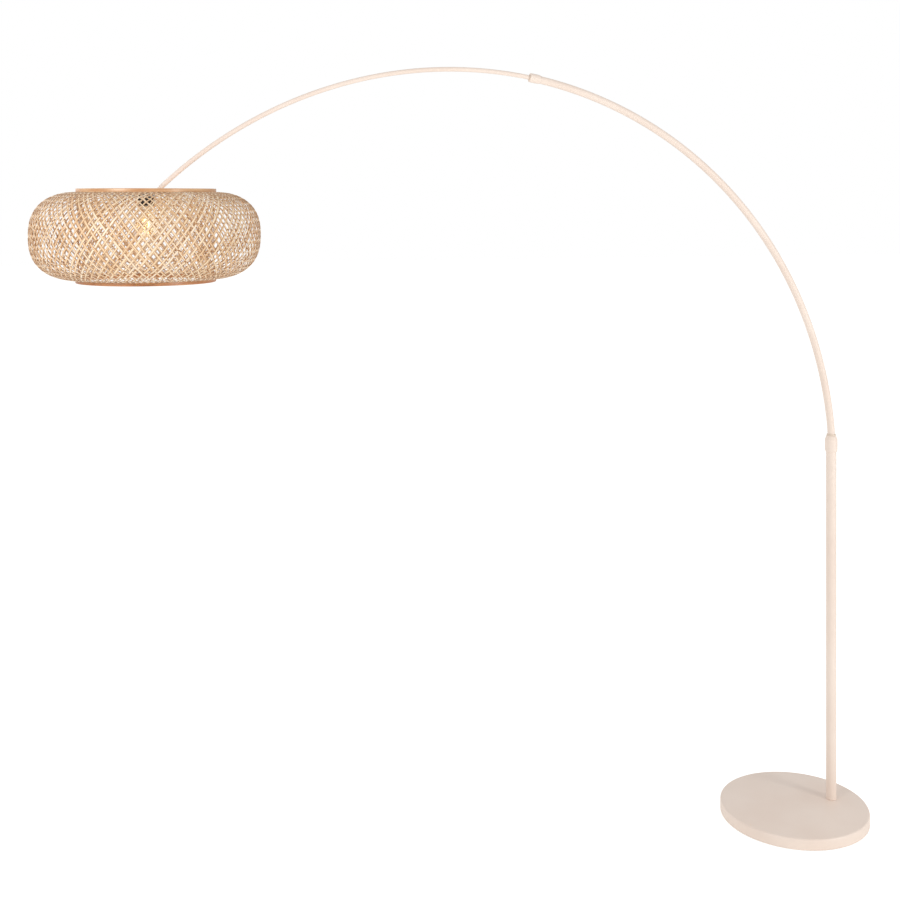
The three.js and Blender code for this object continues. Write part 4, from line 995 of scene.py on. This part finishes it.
_, cap_foot, cap_top, cap_radius = stand("bulb_cap")
_, shell_foot, shell_top, shell_radius = stand("screw_shell")
tip_foot = cap_top - TIP_HEIGHT
cap_shoulder = tip_foot - TIP_RADIUS
cap_side, shell_side = cap_radius - LAMP_THREAD_DEPTH / 2, shell_radius - LAMP_THREAD_DEPTH / 2
lamp_thread = {"relief": thread(LAMP_THREAD_PITCH, LAMP_THREAD_DEPTH, shell_foot, cap_shoulder),
               "step": LAMP_THREAD_PITCH / LAMP_THREAD_STEPS}
turned_piece("lamp_screw_cap", "bulb_cap", [
    (cap_foot, 0.0), (cap_foot, cap_side), (cap_shoulder, cap_side), (tip_foot, TIP_RADIUS),
    (cap_top, TIP_RADIUS), (cap_top, 0.0),
], SHADE_AXIS, GLASS_SIDES, LAMP_CAP_SOFTNESS, closed=False, **lamp_thread)
shell_outline = ring(shell_foot, shell_top, shell_side - SHELL_WALL, shell_side)
turned_piece("holder_screw_shell", "screw_shell", shell_outline, SHADE_AXIS, GLASS_SIDES, SHELL_WALL / 4,
             **lamp_thread)
print("glass across:", round(2 * ball_radius, 4))

# %% [markdown]
# ## The knuckle
#
# The head hangs from a fork at the end of the thin tube. A tongue with a round eye stands between the
# fork's cheeks, and a screw through all three lets the head tilt. The tongue grows out of a small plate
# that a nut on a threaded tube, the nipple, clamps on the holder. Levels and outlines are measured from the
# pivot.

# %% Fork, tongue, screw and nuts
SMALL_SIDES = 72
EYE_RADIUS, EYE_POINTS = 5.0 * MM, 33
TONGUE_THICKNESS = 3.4 * MM
TONGUE_TAIL_MM = [(-2.5, 2.4), (-17.6, 2), (-17.6, -3.5), (-2.5, -3.9)]
DISC_FOOT, DISC_TOP, DISC_RADIUS = -3.5 * MM, -1.5 * MM, 10.0 * MM
CHEEK_THICKNESS, CHEEK_MIDDLE, CHEEK_BACK = 3.0 * MM, 3.5 * MM, 9.0 * MM
ROOT_LENGTH, ROOT_WIDTH, ROOT_DEPTH = 1.5 * MM, 9.8 * MM, 7.0 * MM
SPIGOT_MM = [(-25, 0), (-25, 4.85), (-15.6, 4.85), (-15.6, 6), (-9, 6), (-9, 0)]
SCREW_MM = [(-7.75, 0), (-7.75, 3.75), (-5.25, 3.75), (-5.25, 2), (9.95, 2), (9.95, 0)]
SCREW_SOFTNESS = np.array([0.0, 2.0, 0.2, 0.2, 0.4, 0.0]) * MM
TILT_NUT_FACES, TILT_NUT_ACROSS, TILT_NUT_BORE = (5.25 * MM, 8.45 * MM), 7.0 * MM, 2.0 * MM
NIPPLE_NUT_ACROSS, NUT_CHAMFER = 14.0 * MM, 0.5 * MM
NIPPLE_BORE, NIPPLE_PITCH, NIPPLE_THREAD_DEPTH = 3.5 * MM, 1.0 * MM, 0.5 * MM

eye_angle = np.linspace(-np.pi / 2, np.pi / 2, EYE_POINTS)
eye = EYE_RADIUS * np.stack([np.cos(eye_angle), np.sin(eye_angle)], -1)
tongue_edge = np.vstack([eye, MM * np.array(TONGUE_TAIL_MM)])
tongue = plate_surface(tongue_edge, TONGUE_THICKNESS, pivot, X, Z)
disc_outline = softened(ring(pivot[2] + DISC_FOOT, pivot[2] + DISC_TOP, NIPPLE_HOLE, DISC_RADIUS))
disc = turned_surface(disc_outline, SHADE_AXIS, SMALL_SIDES)
make_piece("tilting_tongue", "head_knuckle", joined_surface(tongue, disc))

cheek_edge = np.vstack([eye[:, ::-1] * (-1.0, 1.0), [(-EYE_RADIUS, -CHEEK_BACK), (EYE_RADIUS, -CHEEK_BACK)]])
cheeks = [plate_surface(cheek_edge, CHEEK_THICKNESS, pivot + side * CHEEK_MIDDLE * Y, fork_out, fork_up)
          for side in (1, -1)]
root_edge = rectangle(ROOT_WIDTH, ROOT_LENGTH, centre=(0.0, ROOT_LENGTH / 2 - CHEEK_BACK))
fork_root = plate_surface(root_edge, ROOT_DEPTH, pivot, fork_out, fork_up)
spigot = turned_surface(softened(MM * np.array(SPIGOT_MM), closed=False), straight_axis(pivot, fork_up, Y),
                        SMALL_SIDES, False)
make_piece("arm_fork", "tip_fork", joined_surface(*cheeks, fork_root, spigot))

screw_axis = straight_axis(pivot, Y, X)
turned_piece("tilt_screw", "knuckle_screw", MM * np.array(SCREW_MM), screw_axis, SMALL_SIDES, SCREW_SOFTNESS,
             closed=False)


def hex_nut(name, node, start, end, across, bore, axis):
    """A chamfered nut: a section wider than its flats, cut down to six of them."""
    corner = across / 2 / math.cos(np.pi / 6)
    shoulder = corner - 2 * NUT_CHAMFER
    outline = [(start, bore), (start, shoulder), (start + NUT_CHAMFER, corner),
               (end - NUT_CHAMFER, corner), (end, shoulder), (end, bore)]
    turned_piece(name, node, outline, axis, SMALL_SIDES, NUT_CHAMFER / 4, relief=hexagon(across),
                 step=NUT_CHAMFER)


hex_nut("tilt_hex_nut", "knuckle_nut", *TILT_NUT_FACES, TILT_NUT_ACROSS, TILT_NUT_BORE, screw_axis)
_, foot, top, _ = stand("nipple_nut")
hex_nut("nipple_hex_nut", "nipple_nut", foot, top, NIPPLE_NUT_ACROSS, NIPPLE_HOLE, SHADE_AXIS)
_, foot, top, radius = stand("nipple")
nipple_thread = thread(NIPPLE_PITCH, NIPPLE_THREAD_DEPTH, foot, top, NIPPLE_BORE + NIPPLE_THREAD_DEPTH)
turned_piece("threaded_nipple", "nipple", ring(foot, top, NIPPLE_BORE, radius - NIPPLE_THREAD_DEPTH / 2),
             SHADE_AXIS, SMALL_SIDES, relief=nipple_thread, step=NIPPLE_PITCH / THREAD_STEPS)
print("knuckle made")

# %% [markdown]
# ## The stage
#
# The photograph is a cut-out on white. A pale floor that runs on far behind the lamp and glows by itself, a
# white surround and three large soft lamps give nearly the same.

# %% Floor, surround and lights
FLOOR_SIZE = 60.0
FLOOR_GLOW_SEEN, FLOOR_GLOW_FOR_LIGHT = 0.5, 0.15
SURROUND_STRENGTH_SEEN, SURROUND_STRENGTH = 1.0, 0.66
BULB_LIGHT_WATTS, BULB_LIGHT_RADIUS = 0.25, 0.02
BULB_LIGHT_BELOW_HOOP = 0.078
WHITE = linear("#FFFFFF")


def pale_floor():
    """A wide square that glows by itself, more for the camera than for the light that it gives."""
    mesh = bpy.data.meshes.new("floor")
    corners = FLOOR_SIZE / 2 * np.array([(-1, -1, 0), (1, -1, 0), (1, 1, 0), (-1, 1, 0)])
    mesh.from_pydata(corners.tolist(), [], [(0, 1, 2, 3)])
    finish, add = new_finish("pale_studio_floor")
    glow = {"Value": add("LightPath"), "To Min": FLOOR_GLOW_FOR_LIGHT, "To Max": FLOOR_GLOW_SEEN}
    shader = add("BsdfPrincipled", {
        "Base Color": linear("#F6F5F3"),
        "Roughness": 0.9,
        "Specular IOR Level": 0.0,
        "Emission Color": WHITE,
        "Emission Strength": add("MapRange", glow),
    })
    add("OutputMaterial", {"Surface": shader})
    mesh.materials.append(finish)
    add_object("floor", mesh)


def white_surround():
    """A white world that the camera sees brighter than it shines on things."""
    world, add = new_finish("white_surround", bpy.data.worlds)
    lit = add("Background", {"Color": WHITE, "Strength": SURROUND_STRENGTH})
    seen = add("Background", {"Color": WHITE, "Strength": SURROUND_STRENGTH_SEEN})
    add("OutputWorld", {"Surface": add("MixShader", {0: add("LightPath"), 1: lit, 2: seen})})
    bpy.context.scene.world = world


def soft_lamp(name, place, target, size, watts, colour="#FFFFFF"):
    """A square area light that faces a point."""
    light = bpy.data.lights.new(name, "AREA")
    light.shape, light.size, light.energy, light.color = "SQUARE", size, watts, linear(colour)[:3]
    aim(add_object(name, light), place, np.subtract(place, target))


pale_floor()
white_surround()
bpy.context.scene.view_settings.view_transform = "Standard"
soft_lamp("key_softbox", (2.8, -4.3, 1.7), (-0.6, 0.0, 1.1), 1.4, 89.0, "#FFFFFD")
soft_lamp("left_softbox", (-3.6, -1.8, 2.1), (-1.75, 0.0, 1.62), 0.8, 32.0)
soft_lamp("rear_softbox", (-3.5, 3.5, 3.0), (-0.8, 0.0, 1.2), 3.0, 20.0)

bulb_light = bpy.data.lights.new("lamp_glow", "POINT")
bulb_light.energy, bulb_light.shadow_soft_size = BULB_LIGHT_WATTS, BULB_LIGHT_RADIUS
bulb_light.color = linear("#FFD9A0")[:3]
bulb_glow = add_object("lamp_glow", bulb_light)
bulb_glow.location = (shade_x, 0.0, hoop_foot - BULB_LIGHT_BELOW_HOOP)
bulb_glow.parent = frame["bodies"]["head"]
print("stage ready")
